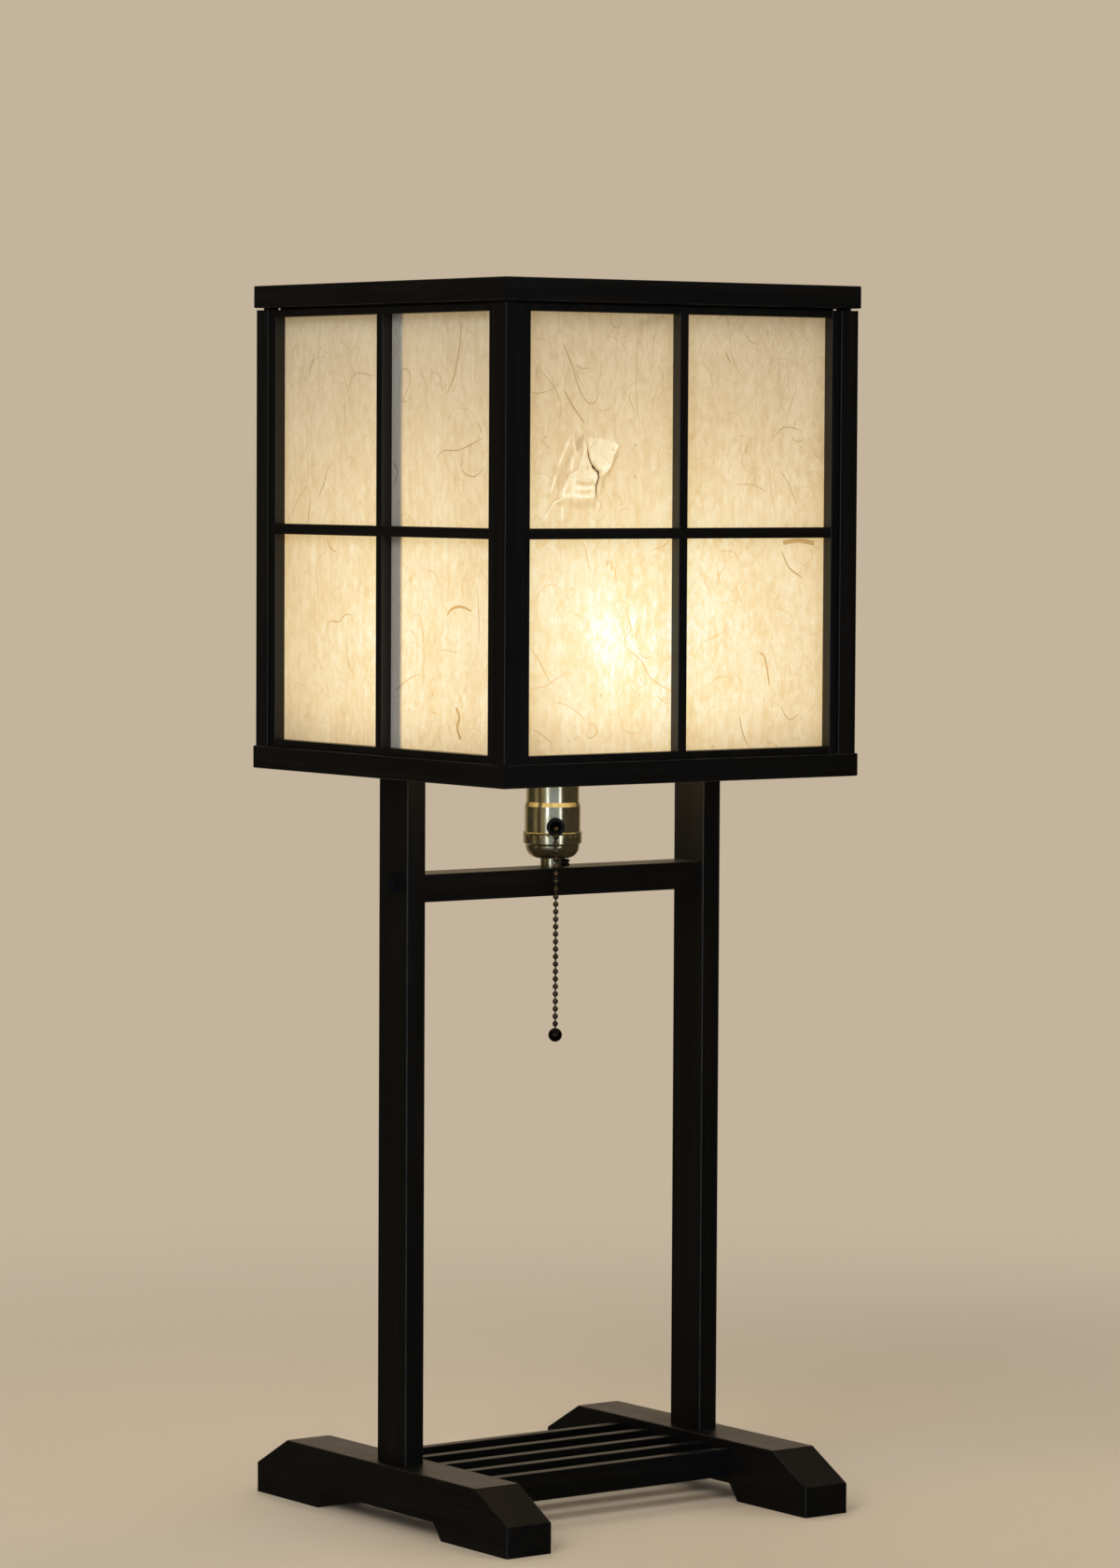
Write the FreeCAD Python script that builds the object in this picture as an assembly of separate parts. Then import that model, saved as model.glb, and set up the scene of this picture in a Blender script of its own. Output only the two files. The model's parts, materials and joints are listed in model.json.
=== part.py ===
import FreeCAD, Part
import math
import os

# A shoji table lamp: a square paper shade in a black wooden frame, on two legs with splayed feet,
# round a pull-chain lamp socket on a crossbar.
# Millimetres. The origin is on the table under the middle of the base. +Z is up, X runs from the
# left leg to the right leg, Y along the feet, and the front of the shade faces -Y.

# Shade as a whole
lamp_height = 692.0
shade_height = 274.4
shade_width = 245.0

# Cap and rim: four mitred rails each
cap_height = 12.6
rim_height = 12.9
rail_width = 12.7

# Corner posts, with a shadow gap under the cap
post_size = 12.0
post_setback = 1.0
post_gap = 1.2
post_tenon = 6.0
post_tenon_depth = 7.0

# Sashes between the posts
sash_setback = 1.4
sash_depth = 6.5
stile_width = 5.6
sash_rail_height = 4.2
sash_tenon_length = 2.0
sash_tenon_thickness = 1.6
muntin_width = 5.9

# Paper behind the sashes and the cleats that hold its top edge
paper_thickness = 0.3
paper_margin = 0.5
cleat_height = 10.6
cleat_play = 0.2

# Legs
leg_thickness = 12.5
leg_depth = 27.7
leg_top_drop = 2.0
leg_tenon_thickness = 6.0
leg_tenon_width = 17.0
leg_tenon_depth = 20.0

# Feet
foot_length = 246.5
foot_width = 29.9
foot_height = 34.0
foot_end_height = 17.0
foot_slope_length = 30.7
arch_opening = 122.0
arch_slope = 7.5
arch_height = 9.5

# Base slats
slat_count = 5
slat_pitch = 25.4
slat_thickness = 6.35
slat_height = 16.0
slat_drop = 4.3
slat_housing = 6.0

# Crossbar
bar_top = 363.8
bar_height = 15.6
bar_setback = 2.35
bar_tenon_width = 7.5
bar_tenon_height = 9.4
bar_tenon_proud = 6.0

# Screws from the legs into the rails
screw_diameter = 3.5
screw_head_diameter = 7.0
screw_head_height = 2.2
screw_bite = 7.0
screw_tip = 3.0
screw_spacing = 13.0
screw_slot_width = 0.9
screw_slot_depth = 0.9

# Rounding of the arrises
ease = 0.8
fine_ease = 0.4

# Fits
turned_fit = 0.05
sleeve_fit = 0.1
running_fit = 0.05
loose_fit = 0.3

# Nipple, and its nut in a pocket under the crossbar
nipple_diameter = 9.6
nipple_bore = 6.6
nut_across_flats = 14.3
nut_height = 4.0
nut_pocket_depth = 7.0
nut_pocket_room = 0.8

# Socket cap: neck, bowl and rim
brass_wall = 0.7
neck_diameter = 13.8
neck_height = 5.1
bowl_diameter = 30.6
bowl_height = 7.9
bowl_fullness = 0.75
cap_diameter = 33.4
cap_rim_height = 7.0
dimple_count = 24
dimple_radius = 1.0
dimple_depth = 0.25
dimple_rise = 5.2

# Socket shell: lower part, shoulder and barrel
shell_lap = 3.5
shell_height = 14.5
shoulder_height = 2.5
barrel_diameter = 30.2
barrel_height = 26.2

# Set screw in the neck
set_screw_diameter = 4.4
set_screw_reach = 9.9
set_screw_bearing = -62.0
set_screw_slot = 0.8

# Inside the shell
liner_wall = 0.6
liner_inset = 0.5
body_play = 0.2
body_rise = 1.5
body_height = 25.7
screw_shell_wall = 0.4
screw_shell_height = 21.5
screw_shell_floor = 0.5
screw_shell_eye = 8.0
contact_length = 11.0
contact_width = 5.0
contact_strip = 0.6
contact_button = 4.0
contact_height = 2.4
terminal_diameter = 3.0
terminal_head_diameter = 5.6
terminal_head_height = 1.6
terminal_length = 6.0
terminal_radius = 8.5
terminal_bearing = 120.0

# Bell mouth
bell_bearing = -120.5
bell_rise = 3.5
bell_mouth_diameter = 10.5
bell_lip = 0.5
bell_flare_length = 0.7
bell_tube_diameter = 8.0
bell_bore = 6.0
bell_seat = 2.0

# Ball chain
bead_diameter = 3.2
bead_pitch = 4.23
link_diameter = 1.0
link_play = 0.25
lead_beads = 4
lead_tail = 0.7
drop_beads = 26
ball_diameter = 7.8
ball_flat_diameter = 2.4
ball_link = 1.0

# Pull switch
pull_travel = 7.0
lever_length = 7.0
lever_thickness = 1.6
lever_tip_radius = 1.3
lever_hub_radius = 2.8
lever_gap = 0.9
switch_pin_diameter = 2.4
rotor_teeth = 8
rotor_radius = 4.2
rotor_root = 3.3
rotor_rake = 0.9
rotor_thickness = 2.6
spring_wire = 0.8
spring_coils = 3
switch_step = 0.3
pocket_wall = 0.6

# Bulb
bulb_length = 106.0
bulb_diameter = 60.0
bulb_base_height = 26.5
bulb_play = 0.3
bulb_seat_gap = 0.1
bulb_tip_radius = 4.5
bulb_tip_height = 1.5
bulb_cone_height = 4.5
bulb_thread_pitch = 3.6
bulb_thread_depth = 0.8
bulb_threads = 4
glass_wall = 1.0

# Levels and planes that follow from the sizes above
shade_bottom = lamp_height - shade_height
cap_bottom = lamp_height - cap_height
rim_top = shade_bottom + rim_height
half_shade = shade_width / 2
rail_inner = half_shade - rail_width
post_outer = half_shade - post_setback
post_inner = post_outer - post_size
sash_front = post_outer - sash_setback
sash_back = sash_front - sash_depth
sash_middle = (sash_front + sash_back) / 2
sash_top = cap_bottom - post_gap
sash_inner = post_inner - stile_width
pane_bottom = rim_top + sash_rail_height
pane_top = sash_top - sash_rail_height
pane_middle = (pane_bottom + pane_top) / 2
leg_outer = rail_inner
leg_inner = leg_outer - leg_thickness
leg_middle = (leg_outer + leg_inner) / 2
leg_top = lamp_height - leg_top_drop
foot_inner = leg_middle - foot_width / 2
foot_outer = leg_middle + foot_width / 2
slat_top = foot_height - slat_drop
bar_bottom = bar_top - bar_height
bar_half_depth = leg_depth / 2 - bar_setback

nipple_radius = nipple_diameter / 2
nut_corner = nut_across_flats / math.sqrt(3)
nut_top = bar_bottom + nut_pocket_depth
bowl_bottom = bar_top + neck_height
cap_rim_bottom = bowl_bottom + bowl_height
cap_rim_top = cap_rim_bottom + cap_rim_height
cap_radius = cap_diameter / 2
shell_radius = cap_radius - brass_wall - turned_fit
shell_bottom = cap_rim_top - shell_lap
shoulder_bottom = cap_rim_top + shell_height
shoulder_top = shoulder_bottom + shoulder_height
barrel_radius = barrel_diameter / 2
barrel_top = shoulder_top + barrel_height
liner_radius = barrel_radius - brass_wall - sleeve_fit
liner_bore = liner_radius - liner_wall
body_radius = liner_bore - body_play
body_bottom = cap_rim_bottom + body_rise
body_top = body_bottom + body_height
screw_shell_radius = liner_bore - sleeve_fit
screw_shell_bore = screw_shell_radius - screw_shell_wall

bead_radius = bead_diameter / 2
link_radius = link_diameter / 2
ball_radius = ball_diameter / 2
bell_level = cap_rim_top + bell_rise
bell_reach = cap_radius + loose_fit + bell_flare_length + bell_lip
lead_level = bell_level - (bell_bore / 2 - bead_radius - loose_fit)
drop_reach = bell_reach + bead_radius + loose_fit

switch_pin_radius = switch_pin_diameter / 2
lever_half_swing = math.asin(pull_travel / (2 * lever_length))
lead_end = drop_reach - lead_beads * bead_pitch - bead_radius - lead_tail
pin_x = lead_end - lever_gap - lever_tip_radius + lever_length * math.sin(lever_half_swing)
pin_y = lever_length * (1 + math.cos(lever_half_swing)) / 2
lever_bottom = lead_level - lever_thickness / 2
lever_top = lead_level + lever_thickness / 2
spring_height = spring_wire * spring_coils
pocket_floor = lever_bottom - switch_step - spring_height
rotor_bottom = lever_top + switch_step
pocket_ceiling = rotor_bottom + rotor_thickness + switch_step

bulb_seat = body_top + contact_height + bulb_seat_gap
bulb_base_top = bulb_seat + bulb_base_height
bulb_base_radius = screw_shell_bore - bulb_play
globe_radius = bulb_diameter / 2
globe_middle = bulb_seat + bulb_length - globe_radius

V = FreeCAD.Vector
ORIGIN = V(0, 0, 0)
UP = V(0, 0, 1)
AXES = {"x": V(1, 0, 0), "y": V(0, 1, 0), "z": V(0, 0, 1)}
SIDES = {"front": 0, "right": 90, "back": 180, "left": 270}
CORNERS = {"front_left": 0, "front_right": 90, "back_right": 180, "back_left": 270}


def block(x0, x1, y0, y1, z0, z1):
    """A box between two corners."""
    return Part.makeBox(x1 - x0, y1 - y0, z1 - z0, V(x0, y0, z0))


def rod(radius, z0, z1, x=0.0, y=0.0):
    """An upright cylinder."""
    return Part.makeCylinder(radius, z1 - z0, V(x, y, z0))


def rod_out(radius, x0, x1, z):
    """A cylinder along X at one level."""
    return Part.makeCylinder(radius, x1 - x0, V(x0, 0, z), AXES["x"])


def prism(points, direction):
    """A closed outline of points, pushed out along a vector."""
    return Part.Face(Part.makePolygon(points + points[:1])).extrude(direction)


def turned(start, *steps):
    """A solid turned about Z: each step is a (radius, height), or the middle and end of an arc."""
    edges = []
    here = V(start[0], 0, start[1])
    for step in steps + (start,):
        if isinstance(step[0], tuple):
            middle = V(step[0][0], 0, step[0][1])
            end = V(step[1][0], 0, step[1][1])
            edges.append(Part.Arc(here, middle, end).toShape())
        else:
            end = V(step[0], 0, step[1])
            edges.append(Part.LineSegment(here, end).toShape())
        here = end
    return Part.Face(Part.Wire(edges)).revolve(ORIGIN, UP, 360)


def straight_edges(shape, axes):
    """The straight edges of a shape that run along the named axes."""
    found = []
    for edge in shape.Edges:
        if isinstance(edge.Curve, Part.Line):
            if any(abs(edge.Curve.Direction.dot(AXES[axis])) > 0.999 for axis in axes):
                found.append(edge)
    return found


def eased(shape, radius, axes):
    """Round the edges that run along the named axes."""
    return shape.makeFillet(radius, straight_edges(shape, axes))


def spun(shape, degrees):
    """A copy turned about the lamp's upright axis."""
    copy = shape.copy()
    copy.rotate(ORIGIN, UP, degrees)
    return copy


def mirrored(shape):
    """A copy on the other side of the lamp, left for right."""
    return shape.mirror(ORIGIN, AXES["x"])


def screw(play=0.0):
    """A countersunk wood screw along +X with its head's face at zero; play widens it to a hole."""
    shank = screw_diameter / 2 + play
    head = screw_head_diameter / 2 + play
    length = leg_thickness + screw_bite
    form = turned(
        (0, 0), (head, 0), (shank, screw_head_height), (shank, length - screw_tip), (0, length + play),
    )
    form.rotate(ORIGIN, AXES["y"], 90)
    if not play:
        half = screw_slot_width / 2
        form = form.cut(block(0, screw_slot_depth, -half, half, -head, head))
    return form


def right_screws(play=0.0):
    """The screws of the right leg, two into the rim and two into the cap."""
    screws = []
    for level in (shade_bottom + rim_height / 2, cap_bottom + cap_height / 2):
        for y in (-screw_spacing / 2, screw_spacing / 2):
            form = screw(play)
            form.translate(V(leg_inner, y, level))
            screws.append(form)
    return screws


def front_rail(z0, z1):
    """A mitred rail of the cap or the rim, on the front side, with eased edges."""
    outline = [
        V(-half_shade, -half_shade, z0),
        V(half_shade, -half_shade, z0),
        V(rail_inner, -rail_inner, z0),
        V(-rail_inner, -rail_inner, z0),
    ]
    return eased(prism(outline, V(0, 0, z1 - z0)), ease, "x")


def front_left_post():
    """A corner post with a square tenon at each end."""
    post = block(-post_outer, -post_inner, -post_outer, -post_inner, rim_top, sash_top)
    middle = (post_outer + post_inner) / 2
    half = post_tenon / 2
    low = rim_top - post_tenon_depth
    high = cap_bottom + post_tenon_depth
    tenon = block(-middle - half, -middle + half, -middle - half, -middle + half, low, high)
    return eased(post, fine_ease, "z").fuse(tenon).removeSplitter()


def make_frames():
    """The rails of the cap and the rim and the four corner posts."""
    post = front_left_post()
    posts = {corner: spun(post, angle) for corner, angle in CORNERS.items()}
    holes = right_screws(turned_fit)
    holes += [mirrored(hole) for hole in holes]
    nodes = {}
    for frame, z0, z1 in (("cap", cap_bottom, lamp_height), ("rim", shade_bottom, rim_top)):
        rail = front_rail(z0, z1)
        for side, angle in SIDES.items():
            nodes[f"{frame}_rail_{side}"] = spun(rail, angle).cut(list(posts.values()) + holes)
    for corner, shape in posts.items():
        nodes[f"corner_post_{corner}"] = shape
    return nodes


def front_strip(x0, x1, z0, z1, axis):
    """A strip of the front sash with its two front edges eased."""
    strip = block(x0, x1, -sash_front, -sash_back, z0, z1)
    arrises = straight_edges(strip, axis)
    front = [edge for edge in arrises if abs(edge.CenterOfMass.y + sash_front) < fine_ease]
    return strip.makeFillet(fine_ease, front)


def front_sash_frame():
    """The two stiles and two rails of the front sash, the rails tenoned into the stiles."""
    half_tenon = sash_tenon_thickness / 2
    reach = sash_inner + sash_tenon_length
    rails = []
    tenons = []
    for z0 in (rim_top, pane_top):
        z1 = z0 + sash_rail_height
        tenon = block(-reach, reach, -sash_middle - half_tenon, -sash_middle + half_tenon, z0, z1)
        rails.append(front_strip(-sash_inner, sash_inner, z0, z1, "x").fuse(tenon).removeSplitter())
        tenons.append(tenon)
    right = front_strip(sash_inner, post_inner, rim_top, sash_top, "z").cut(tenons)
    left = front_strip(-post_inner, -sash_inner, rim_top, sash_top, "z").cut(tenons)
    return Part.makeCompound([left, right] + rails)


def front_muntins():
    """The upright and the cross muntin of the front sash, half lapped where they cross."""
    half = muntin_width / 2
    low = pane_middle - half
    high = pane_middle + half
    upright = front_strip(-half, half, pane_bottom, pane_top, "z")
    upright = upright.cut(block(-half, half, -sash_front, -sash_middle, low, high))
    cross = front_strip(-sash_inner, sash_inner, low, high, "x")
    cross = cross.cut(block(-half, half, -sash_middle, -sash_back, low, high))
    return upright, cross


def make_faces():
    """The sashes, the muntins and the paper of all four sides, and the cleats under the cap."""
    frame = front_sash_frame()
    upright, cross = front_muntins()
    paper_back = sash_back - paper_thickness
    half_paper = post_inner - paper_margin
    low = rim_top + paper_margin
    high = sash_top - paper_margin
    paper = block(-half_paper, half_paper, -sash_back, -paper_back, low, high)
    half_cleat = post_inner - cleat_play
    cleat_bottom = cap_bottom - cleat_height
    cleat = block(-half_cleat, half_cleat, -paper_back, -rail_inner, cleat_bottom, cap_bottom)
    nodes = {"cap_cleats": Part.makeCompound([spun(cleat, angle) for angle in SIDES.values()])}
    for side, angle in SIDES.items():
        nodes[f"sash_{side}_frame"] = spun(frame, angle)
        nodes[f"sash_{side}_muntin_upright"] = spun(upright, angle)
        nodes[f"sash_{side}_muntin_cross"] = spun(cross, angle)
        nodes[f"paper_{side}"] = spun(paper, angle)
    return nodes


def make_crossbar():
    """The bar between the legs, with through tenons, the nipple's hole and the nut's pocket under it."""
    bar = block(-leg_inner, leg_inner, -bar_half_depth, bar_half_depth, bar_bottom, bar_top)
    bar = eased(bar, fine_ease, "x")
    reach = leg_outer + bar_tenon_proud
    half = bar_tenon_width / 2
    tenon = block(-reach, reach, -half, half, bar_top - bar_tenon_height, bar_top)
    tenon = eased(tenon, fine_ease, "x")
    hole = rod(nipple_radius + sleeve_fit, bar_bottom, bar_top)
    pocket = rod(nut_corner + nut_pocket_room, bar_bottom, nut_top)
    return bar.fuse(tenon).removeSplitter().cut([hole, pocket])


def right_leg_tenon():
    """The tenon of the right leg in its foot."""
    half_x = leg_tenon_thickness / 2
    half_y = leg_tenon_width / 2
    low = foot_height - leg_tenon_depth
    return block(leg_middle - half_x, leg_middle + half_x, -half_y, half_y, low, foot_height)


def make_right_leg(crossbar):
    """The right leg with its mortise, tenon and screw holes."""
    half = leg_depth / 2
    leg = eased(block(leg_inner, leg_outer, -half, half, foot_height, leg_top), ease, "z")
    return leg.fuse(right_leg_tenon()).removeSplitter().cut([crossbar] + right_screws(turned_fit))


def make_slats():
    """The slats of the base, front to back."""
    reach = foot_inner + slat_housing
    half = slat_thickness / 2
    slats = []
    for index in range(slat_count):
        y = (index - (slat_count - 1) / 2) * slat_pitch
        slat = block(-reach, reach, y - half, y + half, slat_top - slat_height, slat_top)
        slats.append(eased(slat, fine_ease, "x"))
    return slats


def make_right_foot(slats):
    """The right foot: sloped ends, an arch below, the leg's mortise and the slats' housings."""
    half = foot_length / 2
    shoulder = half - foot_slope_length
    spring = arch_opening / 2
    crown = spring - arch_slope
    outline = [
        (-half, 0), (-spring, 0), (-crown, arch_height), (crown, arch_height), (spring, 0), (half, 0),
        (half, foot_end_height), (shoulder, foot_height), (-shoulder, foot_height), (-half, foot_end_height),
    ]
    foot = prism([V(foot_inner, y, z) for y, z in outline], V(foot_width, 0, 0))
    rounded = []
    for edge in foot.Edges:
        middle = edge.CenterOfMass
        on_a_side = min(abs(middle.x - foot_inner), abs(middle.x - foot_outer)) < fine_ease
        if on_a_side and middle.z > arch_height or not on_a_side and middle.z > foot_end_height / 2:
            rounded.append(edge)
        elif on_a_side and abs(middle.y) > spring and middle.z > 0:
            rounded.append(edge)
    return foot.makeFillet(ease, rounded).cut([right_leg_tenon()] + slats)


def make_stand():
    """Feet, slats, legs, crossbar and the screws in the legs."""
    crossbar = make_crossbar()
    leg = make_right_leg(crossbar)
    slats = make_slats()
    foot = make_right_foot(slats)
    screws = right_screws()
    nodes = {
        "foot_left": mirrored(foot),
        "foot_right": foot,
        "leg_left": mirrored(leg),
        "leg_right": leg,
        "crossbar": crossbar,
        "shade_screws": Part.makeCompound(screws + [mirrored(form) for form in screws]),
    }
    for index, slat in enumerate(slats, 1):
        nodes[f"base_slat_{index}"] = slat
    return nodes


def make_nipple_and_nut():
    """The hollow nipple that carries the socket, flush under the bar, and the nut in its pocket."""
    nipple = rod(nipple_radius, bar_bottom, bowl_bottom).cut(rod(nipple_bore / 2, bar_bottom, bowl_bottom))
    hexagon = [V(nut_corner, 0, nut_top)]
    for step in range(1, 6):
        angle = math.radians(60 * step)
        hexagon.append(V(nut_corner * math.cos(angle), nut_corner * math.sin(angle), nut_top))
    nut = prism(hexagon, V(0, 0, -nut_height)).cut(rod(nipple_radius + turned_fit, bar_bottom, nut_top))
    return {"nipple": nipple, "lock_nut": nut}


def make_set_screw():
    """The screw in the neck that locks the socket on the nipple."""
    level = bar_top + neck_height / 2
    form = rod_out(set_screw_diameter / 2, nipple_radius + turned_fit, set_screw_reach, level)
    half = set_screw_slot / 2
    wide = set_screw_diameter
    slot = block(set_screw_reach - set_screw_slot, set_screw_reach, -wide, wide, level - half, level + half)
    return spun(form.cut(slot), set_screw_bearing)


def bell_hole():
    """The round way for the bell mouth through what surrounds it."""
    radius = bell_tube_diameter / 2 + turned_fit
    return spun(rod_out(radius, body_radius - bell_seat, bell_reach, bell_level), bell_bearing)


def make_socket_cap():
    """The brass cap: a thick neck, a bowl and an upright rim with a row of dimples."""
    neck = neck_diameter / 2
    bore = nipple_radius + turned_fit
    bowl = bowl_diameter / 2
    floor = bowl_bottom + brass_wall
    outer_mid = (neck + (bowl - neck) * bowl_fullness, bowl_bottom + bowl_height * (1 - bowl_fullness))
    inner_mid = (outer_mid[0] - brass_wall, outer_mid[1] + brass_wall)
    cap = turned(
        (bore, bar_top), (neck, bar_top), (neck, bowl_bottom), (outer_mid, (bowl, cap_rim_bottom)),
        (cap_radius, cap_rim_bottom + brass_wall), (cap_radius, cap_rim_top),
        (cap_radius - brass_wall, cap_rim_top), (cap_radius - brass_wall, cap_rim_bottom + 2 * brass_wall),
        (bowl - brass_wall, cap_rim_bottom + brass_wall), (inner_mid, (neck, floor)), (bore, floor),
    )
    level = bar_top + neck_height / 2
    tapped = spun(rod_out(set_screw_diameter / 2 + turned_fit, 0, set_screw_reach, level), set_screw_bearing)
    dimples = []
    for index in range(dimple_count):
        reach = cap_radius + dimple_radius - dimple_depth
        dimple = Part.makeSphere(dimple_radius, V(reach, 0, cap_rim_bottom + dimple_rise))
        dimples.append(spun(dimple, 360 * index / dimple_count))
    return cap.cut([tapped, bell_hole()] + dimples)


def make_shell():
    """The brass shell: a wide lower part, a sloping shoulder and a barrel."""
    shell = turned(
        (shell_radius - brass_wall, shell_bottom), (shell_radius, shell_bottom),
        (shell_radius, shoulder_bottom), (barrel_radius, shoulder_top), (barrel_radius, barrel_top),
        (barrel_radius - brass_wall, barrel_top), (barrel_radius - brass_wall, shoulder_top),
        (shell_radius - brass_wall, shoulder_bottom),
    )
    return shell.cut(bell_hole())


def make_bell_mouth():
    """The flared bush that the chain runs out of."""
    tube = bell_tube_diameter / 2
    bore = bell_bore / 2
    mouth = bell_mouth_diameter / 2
    inner = body_radius - bell_seat
    flare = bell_reach - bell_lip - bell_flare_length
    lip = bell_reach - bell_lip
    form = turned(
        (bore, inner), (tube, inner), (tube, flare), (mouth, lip), (mouth, lip + bell_lip / 2),
        (mouth - bell_lip / 2, bell_reach), (bore + bell_lip, bell_reach), (bore, lip),
    )
    form.rotate(ORIGIN, AXES["y"], 90)
    form.translate(V(0, 0, bell_level))
    return spun(form, bell_bearing)


def switch_pocket():
    """The hollow in the body: a slot for the chain and room for the lever and the rotor."""
    slot_half = bell_bore / 2
    floor = pocket_floor
    sweep = lever_length * math.sin(lever_half_swing) + lever_tip_radius + pocket_wall
    slot = block(pin_x - sweep, body_radius, -slot_half, slot_half, floor, pocket_ceiling)
    room = block(pin_x - sweep, pin_x + sweep, -slot_half, pin_y, floor, pocket_ceiling)
    well = rod(rotor_radius + pocket_wall, floor, pocket_ceiling, pin_x, pin_y)
    return [slot, room, well]


def make_socket_body():
    """The insulating body with the switch's pocket, its pin and the terminals' holes."""
    body = rod(body_radius, body_bottom, body_top).cut(switch_pocket())
    pin = rod(switch_pin_radius, pocket_floor, pocket_ceiling, pin_x, pin_y)
    seat_radius = terminal_diameter / 2 + turned_fit
    seat_top = body_bottom + terminal_length + turned_fit
    seats = [rod(seat_radius, body_bottom, seat_top, x, y) for x, y in terminal_places()]
    body = body.fuse(pin).removeSplitter().cut(seats)
    return spun(body, bell_bearing).cut(bell_hole())


def terminal_places():
    """The two terminal screws, either side of the body behind the switch."""
    angle = math.radians(terminal_bearing)
    x = terminal_radius * math.cos(angle)
    y = terminal_radius * math.sin(angle)
    return [(x, y), (x, -y)]


def make_terminals():
    """The screws that hold the wires, heads down."""
    screws = []
    for x, y in terminal_places():
        head = rod(terminal_head_diameter / 2, body_bottom - terminal_head_height, body_bottom, x, y)
        shank = rod(terminal_diameter / 2, body_bottom, body_bottom + terminal_length, x, y)
        screws.append(spun(head.fuse(shank).removeSplitter(), bell_bearing))
    return Part.makeCompound(screws)


def make_contacts():
    """The screw shell and the contact at its bottom."""
    floor = body_top + screw_shell_floor
    top = body_top + screw_shell_height
    screw_shell = turned(
        (screw_shell_eye, body_top), (screw_shell_radius, body_top), (screw_shell_radius, top),
        (screw_shell_bore, top), (screw_shell_bore, floor), (screw_shell_eye, floor),
    )
    half_length = contact_length / 2
    half_width = contact_width / 2
    strip = block(-half_length, half_length, -half_width, half_width, body_top, body_top + contact_strip)
    button = rod(contact_button / 2, body_top, body_top + contact_height)
    return {"screw_shell": screw_shell, "centre_contact": strip.fuse(button).removeSplitter()}


def make_lever():
    """The lever that the chain pulls, at rest at the inner end of its swing."""
    tip_y = -lever_length
    hub = rod(lever_hub_radius, lever_bottom, lever_top)
    tip = rod(lever_tip_radius, lever_bottom, lever_top, 0, tip_y)
    lean = (lever_hub_radius - lever_tip_radius) / lever_length
    span = math.sqrt(1 - lean * lean)
    arm = []
    for radius, y in ((lever_hub_radius, 0), (lever_tip_radius, tip_y)):
        arm.append(V(radius * span, y - radius * lean, lever_bottom))
    arm += [V(-point.x, point.y, point.z) for point in reversed(arm)]
    lever = prism(arm, V(0, 0, lever_thickness)).fuse([hub, tip]).removeSplitter()
    lever = lever.cut(rod(switch_pin_radius + running_fit, lever_bottom, lever_top))
    lever = spun(lever, -math.degrees(lever_half_swing))
    lever.translate(V(pin_x, pin_y, 0))
    return spun(lever, bell_bearing)


def make_rotor():
    """The ratchet wheel above the lever."""
    points = []
    for tooth in range(rotor_teeth):
        for radius, turn in ((rotor_root, 0.0), (rotor_radius, rotor_rake)):
            angle = 2 * math.pi * (tooth + turn) / rotor_teeth
            points.append(V(radius * math.cos(angle), radius * math.sin(angle), rotor_bottom))
    rotor = prism(points, V(0, 0, rotor_thickness))
    rotor = rotor.cut(rod(switch_pin_radius + running_fit, rotor_bottom, rotor_bottom + rotor_thickness))
    rotor.translate(V(pin_x, pin_y, 0))
    return spun(rotor, bell_bearing)


def make_spring():
    """The close-wound return spring round the pin, on the pocket's floor."""
    inner = switch_pin_radius + loose_fit
    middle = inner + spring_wire / 2
    steps = []
    for coil in range(spring_coils):
        low = pocket_floor + coil * spring_wire
        steps.append(((middle + spring_wire / 2, low + spring_wire / 2), (middle, low + spring_wire)))
    top = pocket_floor + spring_height
    spring = turned((inner, pocket_floor), (middle, pocket_floor), *steps, (inner, top))
    spring.translate(V(pin_x, pin_y, 0))
    return spun(spring, bell_bearing)


def bead_string(beads, head, tail):
    """Beads on a wire down from zero, the first one pitch below, with wire ends at head and tail."""
    half = math.sqrt(bead_radius ** 2 - link_radius ** 2)
    steps = [(link_radius, head)]
    for index in range(1, beads + 1):
        level = -index * bead_pitch
        steps.append((link_radius, level + half))
        steps.append(((bead_radius, level), (link_radius, level - half)))
    steps += [(link_radius, tail), (0, tail)]
    return turned((0, head), *steps)


def make_chain():
    """The chain's three stretches and the ball on its end."""
    head = -bead_radius - link_play
    lead = bead_string(lead_beads, head, lead_end - drop_reach)
    lead.rotate(ORIGIN, AXES["y"], 90)
    last_bead = -drop_beads * bead_pitch
    ball_half_flat = ball_flat_diameter / 2
    flat = math.sqrt(ball_radius ** 2 - ball_half_flat ** 2)
    tail = last_bead - bead_radius - ball_link
    drop = bead_string(drop_beads, head, tail)
    ball_middle = tail - flat
    round_of_ball = ((ball_radius, ball_middle), (0, ball_middle - ball_radius))
    ball = turned((0, tail), (ball_half_flat, tail), round_of_ball)
    bend = turned((0, bead_radius), ((bead_radius, 0), (0, -bead_radius)))
    nodes = {"chain_lead": lead, "chain_bend": bend, "chain_drop": drop, "pull_ball": ball}
    for name, shape in nodes.items():
        shape.translate(V(drop_reach, 0, lead_level))
        nodes[name] = spun(shape, bell_bearing)
    return nodes


def globe_outline(neck, radius):
    """Where the straight flank from the neck touches the round of the globe, and a point above it."""
    rise = globe_middle - bulb_base_top
    reach = math.hypot(neck, rise)
    flank = math.sqrt(reach ** 2 - radius ** 2)
    angle = math.atan2(rise, -neck) - math.asin(radius / reach)
    touch = (neck + flank * math.cos(angle), bulb_base_top + flank * math.sin(angle))
    upper = math.radians(45)
    return touch, (radius * math.cos(upper), globe_middle + radius * math.sin(upper))


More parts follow.
